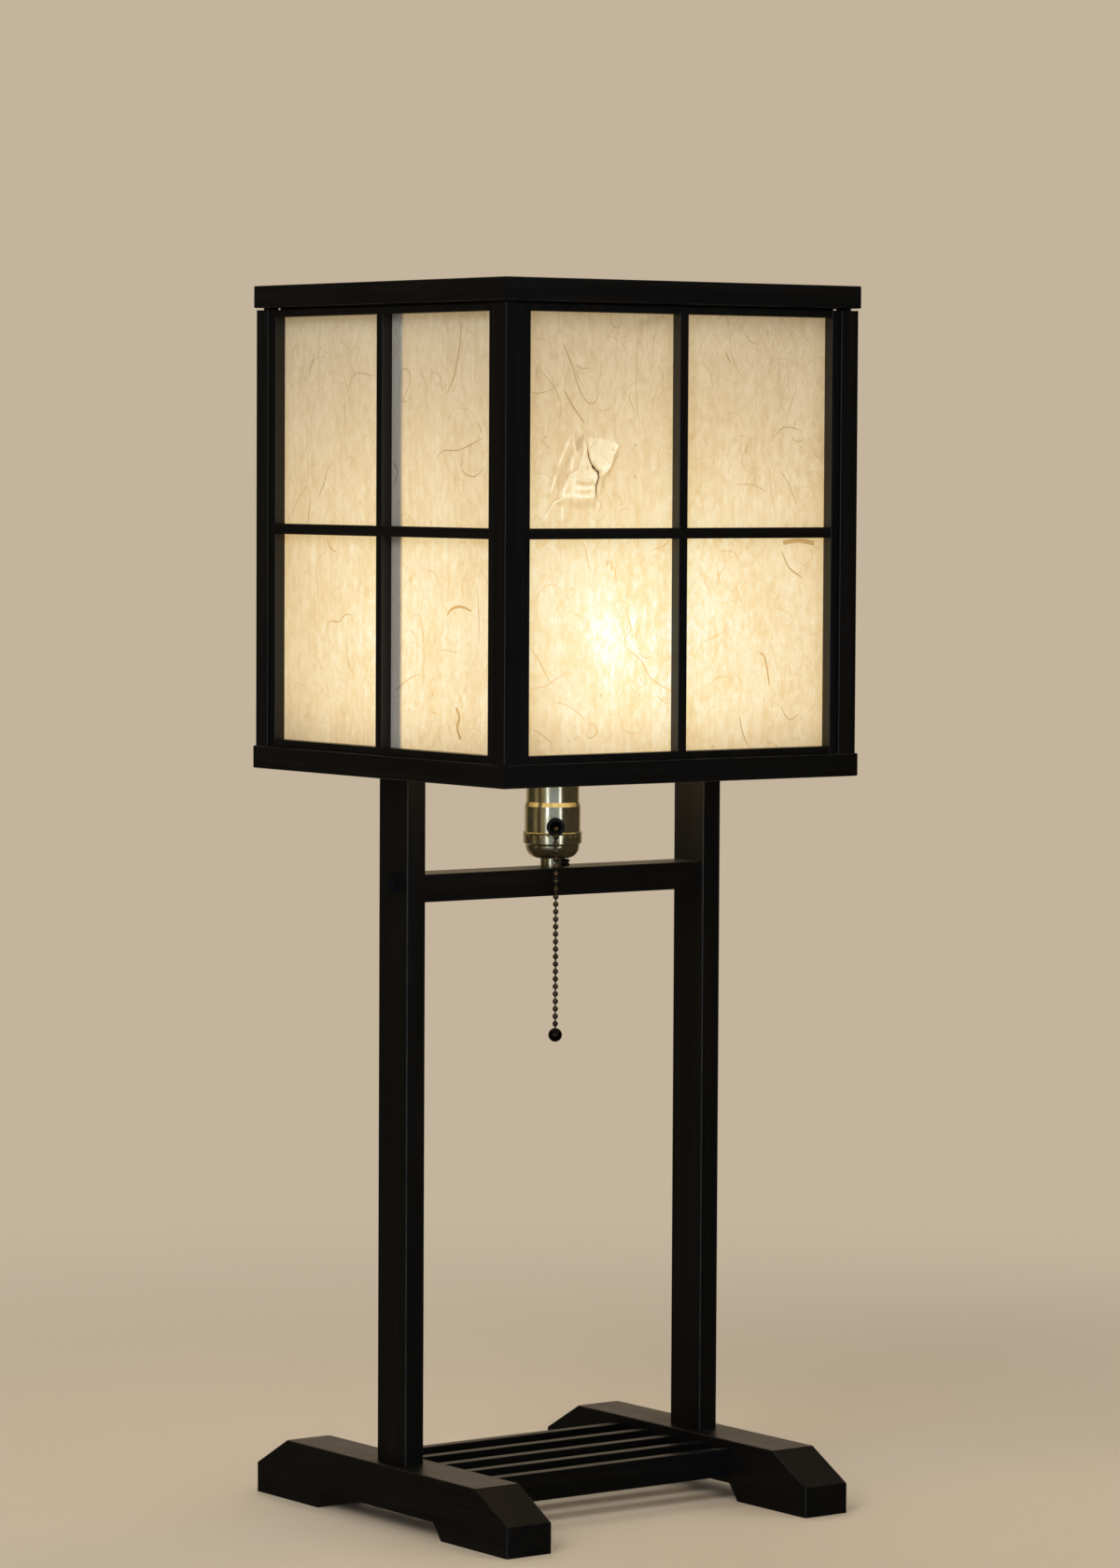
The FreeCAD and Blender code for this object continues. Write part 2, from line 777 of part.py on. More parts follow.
def make_bulb():
    """The bulb: a screw base with rounded threads, and a hollow glass globe on it."""
    cone_low = bulb_seat + bulb_tip_height
    cone_high = cone_low + bulb_cone_height
    root = bulb_base_radius - bulb_thread_depth
    steps = [(bulb_tip_radius, bulb_seat), (bulb_tip_radius, cone_low), (root, cone_high)]
    for index in range(bulb_threads):
        low = cone_high + index * bulb_thread_pitch
        steps.append(((bulb_base_radius, low + bulb_thread_pitch / 2), (root, low + bulb_thread_pitch)))
    steps += [(root, bulb_base_top), (0, bulb_base_top)]
    base = turned((0, bulb_seat), *steps)
    outer_touch, outer_mid = globe_outline(root, globe_radius)
    inner_touch, inner_mid = globe_outline(root - glass_wall, globe_radius - glass_wall)
    globe = turned(
        (root - glass_wall, bulb_base_top), (root, bulb_base_top), outer_touch,
        (outer_mid, (0, globe_middle + globe_radius)), (0, globe_middle + globe_radius - glass_wall),
        (inner_mid, inner_touch),
    )
    return {"bulb_base": base, "bulb_globe": globe}


def make_socket():
    """The socket from the cap to the bell mouth, with the switch inside."""
    liner = rod(liner_radius, shell_bottom, barrel_top - liner_inset)
    liner = liner.cut([rod(liner_bore, shell_bottom, barrel_top), bell_hole()])
    nodes = {
        "socket_cap": make_socket_cap(),
        "set_screw": make_set_screw(),
        "socket_shell": make_shell(),
        "shell_liner": liner,
        "socket_body": make_socket_body(),
        "terminal_screws": make_terminals(),
        "bell_mouth": make_bell_mouth(),
        "pull_lever": make_lever(),
        "ratchet_rotor": make_rotor(),
        "return_spring": make_spring(),
    }
    nodes.update(make_nipple_and_nut())
    nodes.update(make_contacts())
    return nodes


nodes = {}
for make in (make_stand, make_frames, make_faces, make_socket, make_chain, make_bulb):
    nodes.update(make())

os.makedirs("parts", exist_ok=True)
for name, shape in nodes.items():
    shape.exportStep(f"parts/{name}.step")
    state = "valid" if shape.isValid() else "not valid"
    print(name, len(shape.Solids), "solids", round(shape.Volume, 1), "mm3", state)
print("switch pin at", round(pin_x, 4), round(pin_y, 4))
print("chain drops at", round(drop_reach, 4), "from", round(lead_level, 4))
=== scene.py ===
"""Looks of a shoji table lamp: black lacquered wood, lit washi panes, a brass holder and a bead chain."""

import json
import logging
import math
import random
from dataclasses import dataclass, replace
from enum import Enum
from functools import cached_property
from typing import Any, Callable, Iterator, Optional, Sequence, Union

import bpy
from mathutils import Matrix, Vector, noise


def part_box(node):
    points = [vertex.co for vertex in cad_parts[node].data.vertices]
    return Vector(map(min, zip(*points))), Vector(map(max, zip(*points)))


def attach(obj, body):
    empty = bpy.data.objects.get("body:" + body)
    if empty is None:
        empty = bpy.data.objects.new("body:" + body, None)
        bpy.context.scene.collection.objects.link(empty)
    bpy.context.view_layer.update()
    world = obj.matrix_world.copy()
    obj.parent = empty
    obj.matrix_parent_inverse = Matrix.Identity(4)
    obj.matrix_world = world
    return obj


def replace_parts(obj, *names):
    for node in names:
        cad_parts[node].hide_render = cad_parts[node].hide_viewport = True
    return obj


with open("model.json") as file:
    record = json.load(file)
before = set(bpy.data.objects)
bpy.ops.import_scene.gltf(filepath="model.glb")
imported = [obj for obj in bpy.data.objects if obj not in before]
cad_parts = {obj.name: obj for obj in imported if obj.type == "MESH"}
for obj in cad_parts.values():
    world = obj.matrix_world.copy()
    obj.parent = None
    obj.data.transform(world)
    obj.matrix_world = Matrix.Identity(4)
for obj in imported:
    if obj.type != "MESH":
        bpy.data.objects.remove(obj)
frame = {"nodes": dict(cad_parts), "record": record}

LOG = logging.getLogger("shoji_lamp")
MM = 0.001

Triple = tuple[float, float, float]
Colour = Triple
Place = Span = tuple[float, float]
Operand = Union["Wire", float]
Material = bpy.types.Material
Object = bpy.types.Object


class Axis(Enum):
    """The direction that a piece of wood's grain runs in."""

    X = 0
    Y = 1
    Z = 2


class Face(Enum):
    """A side of the shade."""

    FRONT = "front"
    RIGHT = "right"
    BACK = "back"
    LEFT = "left"

    @property
    def outward(self) -> Vector:
        """The direction that the side faces."""
        return OUTWARD[self]

    @property
    def along(self) -> Vector:
        """The direction to the right for someone who looks at the side from outside."""
        return Vector((0, 0, 1)).cross(self.outward)


OUTWARD = {
    Face.FRONT: Vector((0, -1, 0)),
    Face.RIGHT: Vector((1, 0, 0)),
    Face.BACK: Vector((0, 1, 0)),
    Face.LEFT: Vector((-1, 0, 0)),
}


def math_method(operation: str, swapped: bool = False) -> Callable[["Wire", Operand], "Wire"]:
    """Make a method of Wire that puts it and another operand into a Math node.

    Args:
        operation: What the node does.
        swapped: Whether the other operand comes first.

    Returns:
        The method.
    """
    def method(wire: "Wire", other: Operand) -> "Wire":
        """Return the result of the Math node."""
        return wire.math(operation, other, wire) if swapped else wire.math(operation, wire, other)

    return method


class Wire:
    """An output socket of a node; Python arithmetic on it adds Math nodes."""

    __add__ = __radd__ = math_method("ADD")
    __mul__ = __rmul__ = math_method("MULTIPLY")
    __sub__ = math_method("SUBTRACT")
    __rsub__ = math_method("SUBTRACT", swapped=True)
    __rtruediv__ = math_method("DIVIDE", swapped=True)
    least = math_method("MINIMUM")
    most = math_method("MAXIMUM")

    def __init__(self, bench: "Bench", socket: bpy.types.NodeSocket) -> None:
        """Keep the socket and the bench that it belongs to."""
        self.bench = bench
        self.socket = socket

    def math(self, operation: str, *operands: Operand) -> "Wire":
        """Return the result of a Math node on the operands."""
        return self.bench.add("ShaderNodeMath", {"operation": operation}, dict(enumerate(operands)))

    def __abs__(self) -> "Wire":
        """Return the size of self without its sign."""
        return self.math("ABSOLUTE", self)

    def smooth(self, low: float, high: float) -> "Wire":
        """Return a soft step that is 0 at low and 1 at high."""
        sockets = {"Value": self, "From Min": low, "From Max": high}
        return self.bench.add("ShaderNodeMapRange", {"interpolation_type": "SMOOTHSTEP"}, sockets)


@dataclass(frozen=True)
class Layer:
    """A layer of noise, by its grains per metre, finer layers, density along each axis and swirl.

    Its patches fade in over a span of its values, and it counts with a share.
    """

    scale: float
    detail: float = 2.0
    stretch: Triple = (1.0, 1.0, 1.0)
    warp: float = 0.0
    span: Span = (0.0, 1.0)
    share: float = 1.0

    def patches(self, cloud: Wire) -> Wire:
        """Return where the noise is strong, times the share."""
        return cloud.smooth(*self.span) * self.share

    def swing(self, cloud: Wire) -> Wire:
        """Return how far the noise is from its middle, times the share."""
        return self.share * (cloud - 0.5)


class Bench:
    """A node tree that is being wired, for a material or the world."""

    def __init__(self, owner: Union[Material, bpy.types.World]) -> None:
        """Empty the owner's node tree.

        Args:
            owner: The material or world whose nodes are made here.
        """
        owner.use_nodes = True
        self.owner = owner
        self.tree = owner.node_tree
        self.tree.nodes.clear()

    def add(self, kind: str, settings: Optional[dict[str, Any]] = None,
            sockets: Optional[dict[Any, Any]] = None, output: Union[int, str] = 0) -> Wire:
        """Add a node.

        Args:
            kind: The node's type.
            settings: The node's own properties, set before its sockets.
            sockets: Values or wires by the input's name or number.
            output: The output that is wanted.

        Returns:
            The wanted output as a wire.
        """
        node = self.tree.nodes.new(kind)
        for name, value in (settings or {}).items():
            setattr(node, name, value)
        for key, value in (sockets or {}).items():
            self.feed(node.inputs[key], value)
        return Wire(self, node.outputs[output] if node.outputs else None)

    def feed(self, socket: bpy.types.NodeSocket, value: Any) -> None:
        """Link a wire to an input socket, or set the socket's value.

        Args:
            socket: The input.
            value: A wire, a number, a vector or a colour.
        """
        if isinstance(value, Wire):
            self.tree.links.new(value.socket, socket)
        elif socket.type == "RGBA":
            socket.default_value = (*value, 1.0)
        else:
            socket.default_value = value

    @cached_property
    def place(self) -> Wire:
        """The point's place in the lamp's own frame."""
        return self.add("ShaderNodeTexCoord", output="Object")

    @cached_property
    def height(self) -> Wire:
        """How high the point is in the lamp's own frame."""
        return self.axes(self.place)[2]

    def axes(self, vector: Wire) -> list[Wire]:
        """Return the three parts of a vector."""
        parts = self.add("ShaderNodeSeparateXYZ", None, {0: vector})
        return [Wire(self, socket) for socket in parts.socket.node.outputs]

    def vector(self, operation: str, first: Any, second: Any, output: str = "Vector") -> Wire:
        """Return the result of a Vector Math node."""
        return self.add("ShaderNodeVectorMath", {"operation": operation}, {0: first, 1: second}, output)

    def scaled(self, vector: Any, amount: Operand) -> Wire:
        """Return a colour or vector times a number."""
        sockets = {0: vector, "Scale": amount}
        return self.add("ShaderNodeVectorMath", {"operation": "SCALE"}, sockets)

    def mix(self, share: Operand, first: Any, second: Any) -> Wire:
        """Return a colour between first, at share 0, and second, at share 1."""
        return self.add("ShaderNodeMix", {"data_type": "RGBA"}, {0: share, 6: first, 7: second}, 2)

    def cloud(self, layer: Layer) -> Wire:
        """Add a layer of soft noise.

        Args:
            layer: Its sizes.

        Returns:
            A value round a half.
        """
        spread = self.vector("MULTIPLY", self.place, layer.stretch)
        sockets = {"Vector": spread, "Scale": layer.scale, "Detail": layer.detail, "Distortion": layer.warp}
        return self.add("ShaderNodeTexNoise", None, sockets, "Fac")

    def raised(self, height: Wire, depth: float) -> Wire:
        """Return a normal that is bumped by a height of this depth."""
        return self.add("ShaderNodeBump", None, {"Height": height, "Distance": depth})

    def attribute(self, name: str) -> Wire:
        """Return a number that is stored on the mesh."""
        return self.add("ShaderNodeAttribute", {"attribute_name": name}, None, "Fac")

    def rays(self, *kinds: str) -> Wire:
        """Tell the kinds of rays apart that light is followed along.

        Args:
            kinds: The kinds that are looked for.

        Returns:
            1 for any of them, otherwise 0.
        """
        path = self.add("ShaderNodeLightPath").socket.node
        first, *others = (Wire(self, path.outputs[f"Is {kind} Ray"]) for kind in kinds)
        return sum(others, first).least(1.0)

    def surface(self, sockets: dict[str, Any]) -> Material:
        """Finish the material with a Principled shader.

        Args:
            sockets: The shader's values and wires by the input's name.

        Returns:
            The material.
        """
        shader = self.add("ShaderNodeBsdfPrincipled", None, sockets)
        self.add("ShaderNodeOutputMaterial", None, {"Surface": shader})
        return self.owner


def new_bench(name: str) -> Bench:
    """Return a bench for a new material of this name."""
    return Bench(bpy.data.materials.new(name))


@dataclass(frozen=True)
class Lacquer:
    """Satin black lacquer, brushed along straight-grained wood, a little rubbed on its arrises, which also
    get a painted highlight.
    """

    grain: Axis
    black: Colour = (0.0015, 0.0014, 0.0012)
    brown: Colour = (0.0038, 0.0028, 0.0019)
    rubbed_highlight: Colour = (0.022, 0.018, 0.014)
    pores: Layer = Layer(1100.0, 3.0, share=0.12)
    brushing: Layer = Layer(160.0, warp=0.4, span=(0.4, 0.75), share=0.1)
    handling: Layer = Layer(22.0, 3.0, share=0.14)
    wear_and_highlight: Layer = Layer(90.0, 3.0, span=(0.38, 0.62))
    grain_stretch: float = 0.035
    arris_span: Span = (0.15, 0.5)
    rubbed_highlight_share: float = 0.7
    gloss: float = 0.26
    arris_rough: float = 0.2
    specular: float = 0.5
    brush_relief: float = 0.6
    pore_depth: float = 0.00006

    def material(self) -> Material:
        """Return the lacquer with its grain along one axis."""
        bench = new_bench(f"lacquer_{self.grain.name.lower()}")
        stretch = tuple(self.grain_stretch if axis is self.grain else 1.0 for axis in Axis)
        pores = bench.cloud(replace(self.pores, stretch=stretch))
        brushing = bench.cloud(replace(self.brushing, stretch=stretch))
        arris = self.arris(bench) * self.wear_and_highlight.patches(bench.cloud(self.wear_and_highlight))
        body = bench.mix(brushing.smooth(*self.brushing.span), self.black, self.brown)
        rough = self.gloss + self.pores.share * pores + self.brushing.share * brushing
        rough = rough + self.handling.swing(bench.cloud(self.handling)) + self.arris_rough * arris
        return bench.surface({
            # The paler arris colour is partly real rubbing and partly a painted highlight.
            "Base Color": bench.mix(arris * self.rubbed_highlight_share, body, self.rubbed_highlight),
            "Roughness": rough,
            "Specular IOR Level": self.specular,
            "Normal": bench.raised(pores + self.brush_relief * brushing, self.pore_depth),
        })

    def arris(self, bench: Bench) -> Wire:
        """Find the eased edges that run along the grain.

        Args:
            bench: The material's bench.

        Returns:
            1 on those edges and 0 on flat faces.
        """
        normal = bench.add("ShaderNodeNewGeometry", output="Normal")
        parts = [abs(part) for part in bench.axes(normal)]
        first, second = (part for axis, part in enumerate(parts) if axis != self.grain.value)
        return first.least(second).smooth(*self.arris_span)


@dataclass(frozen=True)
class Metal:
    """A drawn or turned metal with fine lines round it, smears and duller patches."""

    name: str
    bright: Colour
    dull: Colour
    gloss: float
    dulling: float = 0.12
    bare: float = 1.0
    lines: Layer = Layer(2600.0, stretch=(0.03, 0.03, 1.0), share=0.06)
    line_depth: float = 0.00001
    smears: Layer = Layer(130.0, 4.0, (1.0, 1.0, 0.6), 0.8, (0.42, 0.72), 0.75)
    specks: Layer = Layer(1170.0, span=(0.62, 0.74), share=0.4)
    ridges: tuple[float, ...] = ()
    ridge_half: float = 0.0007
    ridge_height: float = 40.0

    def material(self) -> Material:
        """Return the metal, with rolled ridges round it at some heights."""
        bench = new_bench(self.name)
        lines = bench.cloud(self.lines)
        relief = lines
        for level in self.ridges:
            relief = relief + self.ridge_height * abs(bench.height - level).smooth(self.ridge_half, 0.0)
        smears, specks = (layer.patches(bench.cloud(layer)) for layer in (self.smears, self.specks))
        tarnish = (smears + specks).least(1.0)
        return bench.surface({
            "Base Color": bench.mix(tarnish, self.bright, self.dull),
            "Metallic": self.bare,
            "Roughness": self.gloss + self.dulling * tarnish + self.lines.share * lines,
            "Normal": bench.raised(relief, self.line_depth),
        })


@dataclass(frozen=True)
class Moulding:
    """A dull moulded or pressed material with a fine uneven skin."""

    name: str
    body: Colour
    flecks: Colour
    rough: float
    specular: float = 0.5
    skin: Layer = Layer(900.0, 4.0, span=(0.48, 0.7), share=0.6)
    skin_rough: float = 0.18
    skin_depth: float = 0.00003
    swirl: Layer = Layer(120.0, 3.0, warp=1.2, span=(0.4, 0.7), share=0.4)
    swirl_rough: float = 0.1

    def material(self) -> Material:
        """Return the moulded material."""
        bench = new_bench(self.name)
        skin, swirl = bench.cloud(self.skin), bench.cloud(self.swirl)
        share = (self.skin.patches(skin) + self.swirl.patches(swirl)).least(1.0)
        return bench.surface({
            "Base Color": bench.mix(share, self.body, self.flecks),
            "Roughness": self.rough + self.skin_rough * (skin - 0.5) + self.swirl_rough * (swirl - 0.5),
            "Specular IOR Level": self.specular,
            "Normal": bench.raised(skin, self.skin_depth),
        })


@dataclass(frozen=True)
class FrostedGlass:
    """The lit bulb's inside-frosted glass."""

    body: Colour = (0.5, 0.48, 0.44)
    centre: Colour = (1.0, 0.9, 0.7)
    rim: Colour = (0.95, 0.72, 0.42)
    strength: float = 0.6
    hot_reach: Span = (0.25, 1.15)
    frost: Layer = Layer(2500.0, 3.0)
    frost_blur: float = 0.002
    frost_tint: float = 0.3
    rough: float = 0.5
    frost_rough: float = 0.2
    frost_depth: float = 0.00002

    def material(self, middle: float, radius: float) -> Material:
        """Return the glass, hottest round the filament.

        Args:
            middle: The height of the filament.
            radius: The globe's radius.

        Returns:
            The material.
        """
        bench = new_bench("frosted_glass")
        frost = bench.cloud(self.frost)
        away = abs(bench.height - middle) + self.frost_blur * frost
        fade = away.smooth(*(reach * radius for reach in self.hot_reach))
        return bench.surface({
            "Base Color": bench.mix(frost * self.frost_tint, self.body, self.rim),
            "Roughness": self.rough + self.frost_rough * frost,
            "Emission Color": bench.mix(fade, self.centre, self.rim),
            "Emission Strength": self.strength,
            "Normal": bench.raised(frost, self.frost_depth),
        })


@dataclass(frozen=True)
class Glow:
    """The bulb's light through one sheet, painted as its glow, with painted shade where the legs and cleats
    stand behind it, along the bottom rim and in its low left corner.
    """

    face: Face
    hot_along: float
    hot_height: float
    peak: float
    core: float
    leg_half: float
    cleat_level: float
    core_radius: float = 0.034
    core_shift: float = -0.024
    width: float = 0.17
    rise: float = 0.125
    drop: float = 0.16
    leg_shift: float = 0.002
    leg_blur: Span = (-0.0006, -0.0051)
    leg_dim: float = 0.98
    cleat_blur: Span = (-0.009, 0.002)
    cleat_dim: float = 0.18
    rim_span: Span = (0.462, 0.431)
    rim_dim: float = 0.3
    corner_along: Span = (-0.06, -0.105)
    corner_up: Span = (0.49, 0.44)
    corner_dim: float = 0.13
    amber: Colour = (1.48, 0.985, 0.345)
    pale: Colour = (1.05, 0.965, 0.585)
    hot: Colour = (1.0, 0.98, 0.82)
    pale_span: Span = (0.2, 0.95)
    hot_span: Span = (0.7, 0.92)

    def level(self, bench: Bench) -> Wire:
        """Work out how much light comes through at a point of the sheet.

        Args:
            bench: The material's bench.

        Returns:
            The light, where 1 is the brightest white.
        """
        along = bench.vector("DOT_PRODUCT", bench.place, self.face.along, "Value")
        up = bench.height
        across = (along - self.hot_along) * (1 / self.width)
        above = (up - self.hot_height).most(0.0) * (1 / self.rise)
        below = (self.hot_height - up).most(0.0) * (1 / self.drop)
        level = self.peak / (1 + across * across + above * above + below * below)
        core_across = (along - self.hot_along - self.core_shift) * (1 / self.core_radius)
        core_up = (up - self.hot_height) * (1 / self.core_radius)
        level = level + self.core / (1 + core_across * core_across + core_up * core_up)
        # Painted shade under the cap cleats, along the bottom rim and in the low left corner.
        cleats = up.smooth(*(self.cleat_level + blur for blur in self.cleat_blur))
        rim = up.smooth(*self.rim_span)
        corner = along.smooth(*self.corner_along) * up.smooth(*self.corner_up)
        level = level * (1 - self.cleat_dim * cleats) * (1 - self.rim_dim * rim)
        level = level * (1 - self.corner_dim * corner)
        # Painted shadow of the leg that stands behind the sheet.
        if self.leg_half:
            strip = abs(along - self.leg_shift).smooth(*(self.leg_half + blur for blur in self.leg_blur))
            level = level * (1 - self.leg_dim * strip)
        return level

    def emission(self, bench: Bench, light: Wire, tint: Wire) -> dict[str, Any]:
        """Work out what the sheet gives off, paler where it is bright and white where it is hot.

        Args:
            bench: The material's bench.
            light: How much light comes through.
            tint: The colour that the sheet or strand gives it.

        Returns:
            The shader's sockets for it.
        """
        bright = bench.mix(light.smooth(*self.pale_span), self.amber, self.pale)
        colour = bench.scaled(bench.mix(light.smooth(*self.hot_span), bright, self.hot), light)
        return {"Emission Color": bench.vector("MULTIPLY", colour, tint), "Emission Strength": 1.0}


@dataclass(frozen=True)
class Washi:
    """Handmade paper: short upright grain, longer streaks, cloudy thickness and specks of bark; the bulb's
    light through it and its folds' light and shade are painted on.
    """

    glow: Glow
    white: Colour = (0.32, 0.325, 0.31)
    tan: Colour = (0.235, 0.205, 0.16)
    torn_and_shaded: Colour = (0.03, 0.016, 0.009)
    warm: Colour = (1.02, 0.96, 0.8)
    cool: Colour = (0.99, 1.03, 1.18)
    grain: Layer = Layer(820.0, 3.0, (1, 1, 0.28), 0.2, share=0.42)
    streaks: Layer = Layer(300.0, 3.0, (1, 1, 0.07), 0.3, share=0.28)
    mottle: Layer = Layer(210.0, 4.0, (1, 1, 0.65), 0.8, share=0.6)
    clouds: Layer = Layer(34.0, 4.0, (1, 1, 0.6), share=0.42)
    specks: Layer = Layer(330.0, 2.0, (1, 1, 0.75), span=(0.69, 0.79))
    coarseness: Layer = Layer(11.0, 1.0, (1, 1, 0.8), span=(0.35, 0.65), share=0.9)
    coarse_least: float = 0.3
    rip_shade_span: Span = (0.74, 0.92)
    uneven_light: float = 0.7
    fold_light: float = 0.42
    speck_dim: float = 0.3
    rip_shade_dim: float = 0.97
    contrast: float = 1.2
    hot_contrast: float = 0.9
    hot_span: Span = (0.5, 0.8)
    tint_span: Span = (0.2, 0.8)
    fold_tint: float = 0.4
    stain_and_shade: float = 0.4
    fold_shading: float = 0.35
    rough: float = 0.9
    grain_rough: float = 0.12
    specular: float = 0.25
    speck_relief: float = 0.5
    depth: float = 0.00014

    def material(self) -> Material:
        """Return the paper of one face, with the light that comes through it."""
        bench = new_bench(f"washi_{self.glow.face.value}")
        layers = (self.grain, self.streaks, self.mottle, self.clouds)
        grain, streaks, mottle, clouds = (bench.cloud(layer) for layer in layers)
        specks = self.specks.patches(bench.cloud(self.specks))
        # fold holds the folds' painted light and shade: it brightens or darkens the glow and shifts its tint
        # and the base colour.
        fold = bench.attribute("fold")
        # The tear is painted as deep shade: a near-black colour and almost none of the glow.
        rip_shade = (0 - fold).smooth(*self.rip_shade_span)
        coarse = self.coarse_least + self.coarseness.patches(bench.cloud(self.coarseness))
        uneven = self.grain.share * coarse * (grain - 0.5) + self.streaks.swing(streaks)
        uneven = uneven + self.mottle.swing(mottle) + self.clouds.swing(clouds)
        level = self.glow.level(bench)
        light = level * (1 + self.uneven_light * uneven + self.fold_light * fold)
        light = light * (1 - self.speck_dim * specks) * (1 - self.rip_shade_dim * rip_shade)
        contrast = self.contrast + self.hot_contrast * level.smooth(*self.hot_span)
        cool = (0.5 + contrast * uneven + self.fold_tint * fold).smooth(*self.tint_span)
        # The base colour mixes the paper's real tone and bark specks with the folds' painted light and shade.
        stain_and_shade = (self.stain_and_shade - uneven - self.fold_shading * fold).most(specks).most(0.0).least(1.0)
        return bench.surface({
            "Base Color": bench.mix(rip_shade, bench.mix(stain_and_shade, self.white, self.tan), self.torn_and_shaded),
            "Roughness": self.rough - self.grain_rough * grain,
            "Specular IOR Level": self.specular,
            "Normal": bench.raised(grain + mottle + self.speck_relief * specks, self.depth),
            **self.glow.emission(bench, light, bench.mix(cool, self.warm, self.cool)),
        })


@dataclass(frozen=True)
class BarkFibre:
    """Bast strands and bark strips in the paper, which hold back part of the light."""

    glow: Glow
    straw: Colour = (0.2, 0.155, 0.1)
    bark: Colour = (0.085, 0.057, 0.034)
    ash: Colour = (0.98, 1.0, 1.05)
    ember: Colour = (1.18, 0.96, 0.68)
    ply: Layer = Layer(1400.0, 2.0, (1, 1, 0.3), share=0.2)
    clear: float = 0.9
    tone_dim: float = 0.6
    ply_stain: float = 0.4
    ember_span: Span = (0.36, 0.6)
    rough: float = 0.85
    ply_rough: float = 0.1
    specular: float = 0.2
    depth: float = 0.00005

    def material(self) -> Material:
        """Return the strands of one face; the mesh's tone says how dark each one is."""
        bench = new_bench(f"bast_{self.glow.face.value}")
        tone = bench.attribute("tone")
        ply = bench.cloud(self.ply)
        level = self.glow.level(bench)
        light = level * (self.clear - self.tone_dim * tone + self.ply.swing(ply))
        dark = (tone + self.ply_stain * (ply - 0.5)).smooth(0.0, 1.0)
        tint = bench.mix(level.smooth(*self.ember_span), self.ash, self.ember)
        return bench.surface({
            "Base Color": bench.mix(dark, self.straw, self.bark),
            "Roughness": self.rough + self.ply_rough * ply,
            "Specular IOR Level": self.specular,
            "Normal": bench.raised(ply, self.depth),
            **self.glow.emission(bench, light, tint),
        })


FINISHES: dict[str, Union[Metal, Moulding]] = {
    "socket_brass": Metal("socket_brass", (0.62, 0.55, 0.35), (0.44, 0.37, 0.2), 0.13, bare=0.95),
    "contact_brass": Metal("contact_brass", (0.8, 0.62, 0.3), (0.48, 0.33, 0.14), 0.24),
    "steel": Metal("zinc_steel", (0.55, 0.55, 0.54), (0.32, 0.31, 0.3), 0.3),
    "dark_steel": Metal("black_steel", (0.06, 0.055, 0.05), (0.03, 0.026, 0.022), 0.32),
    "cardboard": Moulding("card_liner", (0.45, 0.36, 0.24), (0.3, 0.22, 0.13), 0.9),
    "phenolic": Moulding("phenolic", (0.03, 0.025, 0.02), (0.06, 0.04, 0.028), 0.42),
    "black_bush": Moulding("black_bush", (0.008, 0.0075, 0.007), (0.016, 0.014, 0.013), 0.4, 0.12),
    "bronze_chain": Metal("chain_bronze", (0.12, 0.092, 0.06), (0.045, 0.033, 0.023), 0.26, 0.2, 0.92),
    "bronze_ball": Metal("ball_bronze", (0.035, 0.027, 0.02), (0.014, 0.011, 0.008), 0.24, 0.2),
    "bulb_metal": Metal("bulb_metal", (0.75, 0.75, 0.74), (0.5, 0.49, 0.46), 0.25),
}
CAP_BRASS = Metal("cap_brass", (0.52, 0.45, 0.26), (0.36, 0.29, 0.15), 0.14, bare=0.95)


def put_on(node: str, material: Material) -> str:
    """Give a CAD node one material.

    Args:
        node: The node's name.
        material: Its finish.

    Returns:
        The node's name.
    """
    slots = frame["nodes"][node].data.materials
    slots.clear()
    slots.append(material)
    return node


def add_object(name: str, data: bpy.types.ID) -> Object:
    """Make an object.

    Args:
        name: Its name.
        data: Its mesh, lamp or camera.

    Returns:
        The object, linked to the scene.
    """
    made = bpy.data.objects.new(name, data)
    bpy.context.scene.collection.objects.link(made)
    return made


def solid_piece(name: str, points: list[Vector], faces: list[tuple[int, ...]]) -> Object:
    """Make a smooth-shaded mesh object.

    Args:
        name: The piece's name.
        points: Its corners in the lamp's frame, in metres.
        faces: Its faces as numbers of corners.

    Returns:
        The object, linked to the scene.
    """
    mesh = bpy.data.meshes.new(name)
    mesh.from_pydata([tuple(point) for point in points], [], faces)
    mesh.shade_smooth()
    mesh.update()
    return add_object(name, mesh)


def store_numbers(piece: Object, name: str, values: Sequence[float]) -> None:
    """Keep one number for each corner of a piece's mesh.

    Args:
        piece: The object.
        name: The number's name, which a material reads.
        values: The numbers, in the corners' order.
    """
    kept = piece.data.attributes.new(name, "FLOAT", "POINT")
    kept.data.foreach_set("value", values)


@dataclass
class Woodwork:
    """The stand and the shade's frame, all in black lacquer."""

    slot: str = "lacquered_wood"

    def nodes(self) -> list[str]:
        """Return the names of the wooden nodes."""
        return [part["node"] for part in frame["record"]["subparts"] if part["material_slot"] == self.slot]

    def grain_of(self, node: str) -> Axis:
        """Return the axis that a piece is longest along, which its grain follows."""
        low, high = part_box(node)
        return max(Axis, key=lambda axis: (high - low)[axis.value])

    def dress(self) -> Iterator[str]:
        """Lacquer each wooden piece along its grain, and yield its name."""
        finishes = {axis: Lacquer(axis).material() for axis in Axis}
        for node in self.nodes():
            yield put_on(node, finishes[self.grain_of(node)])


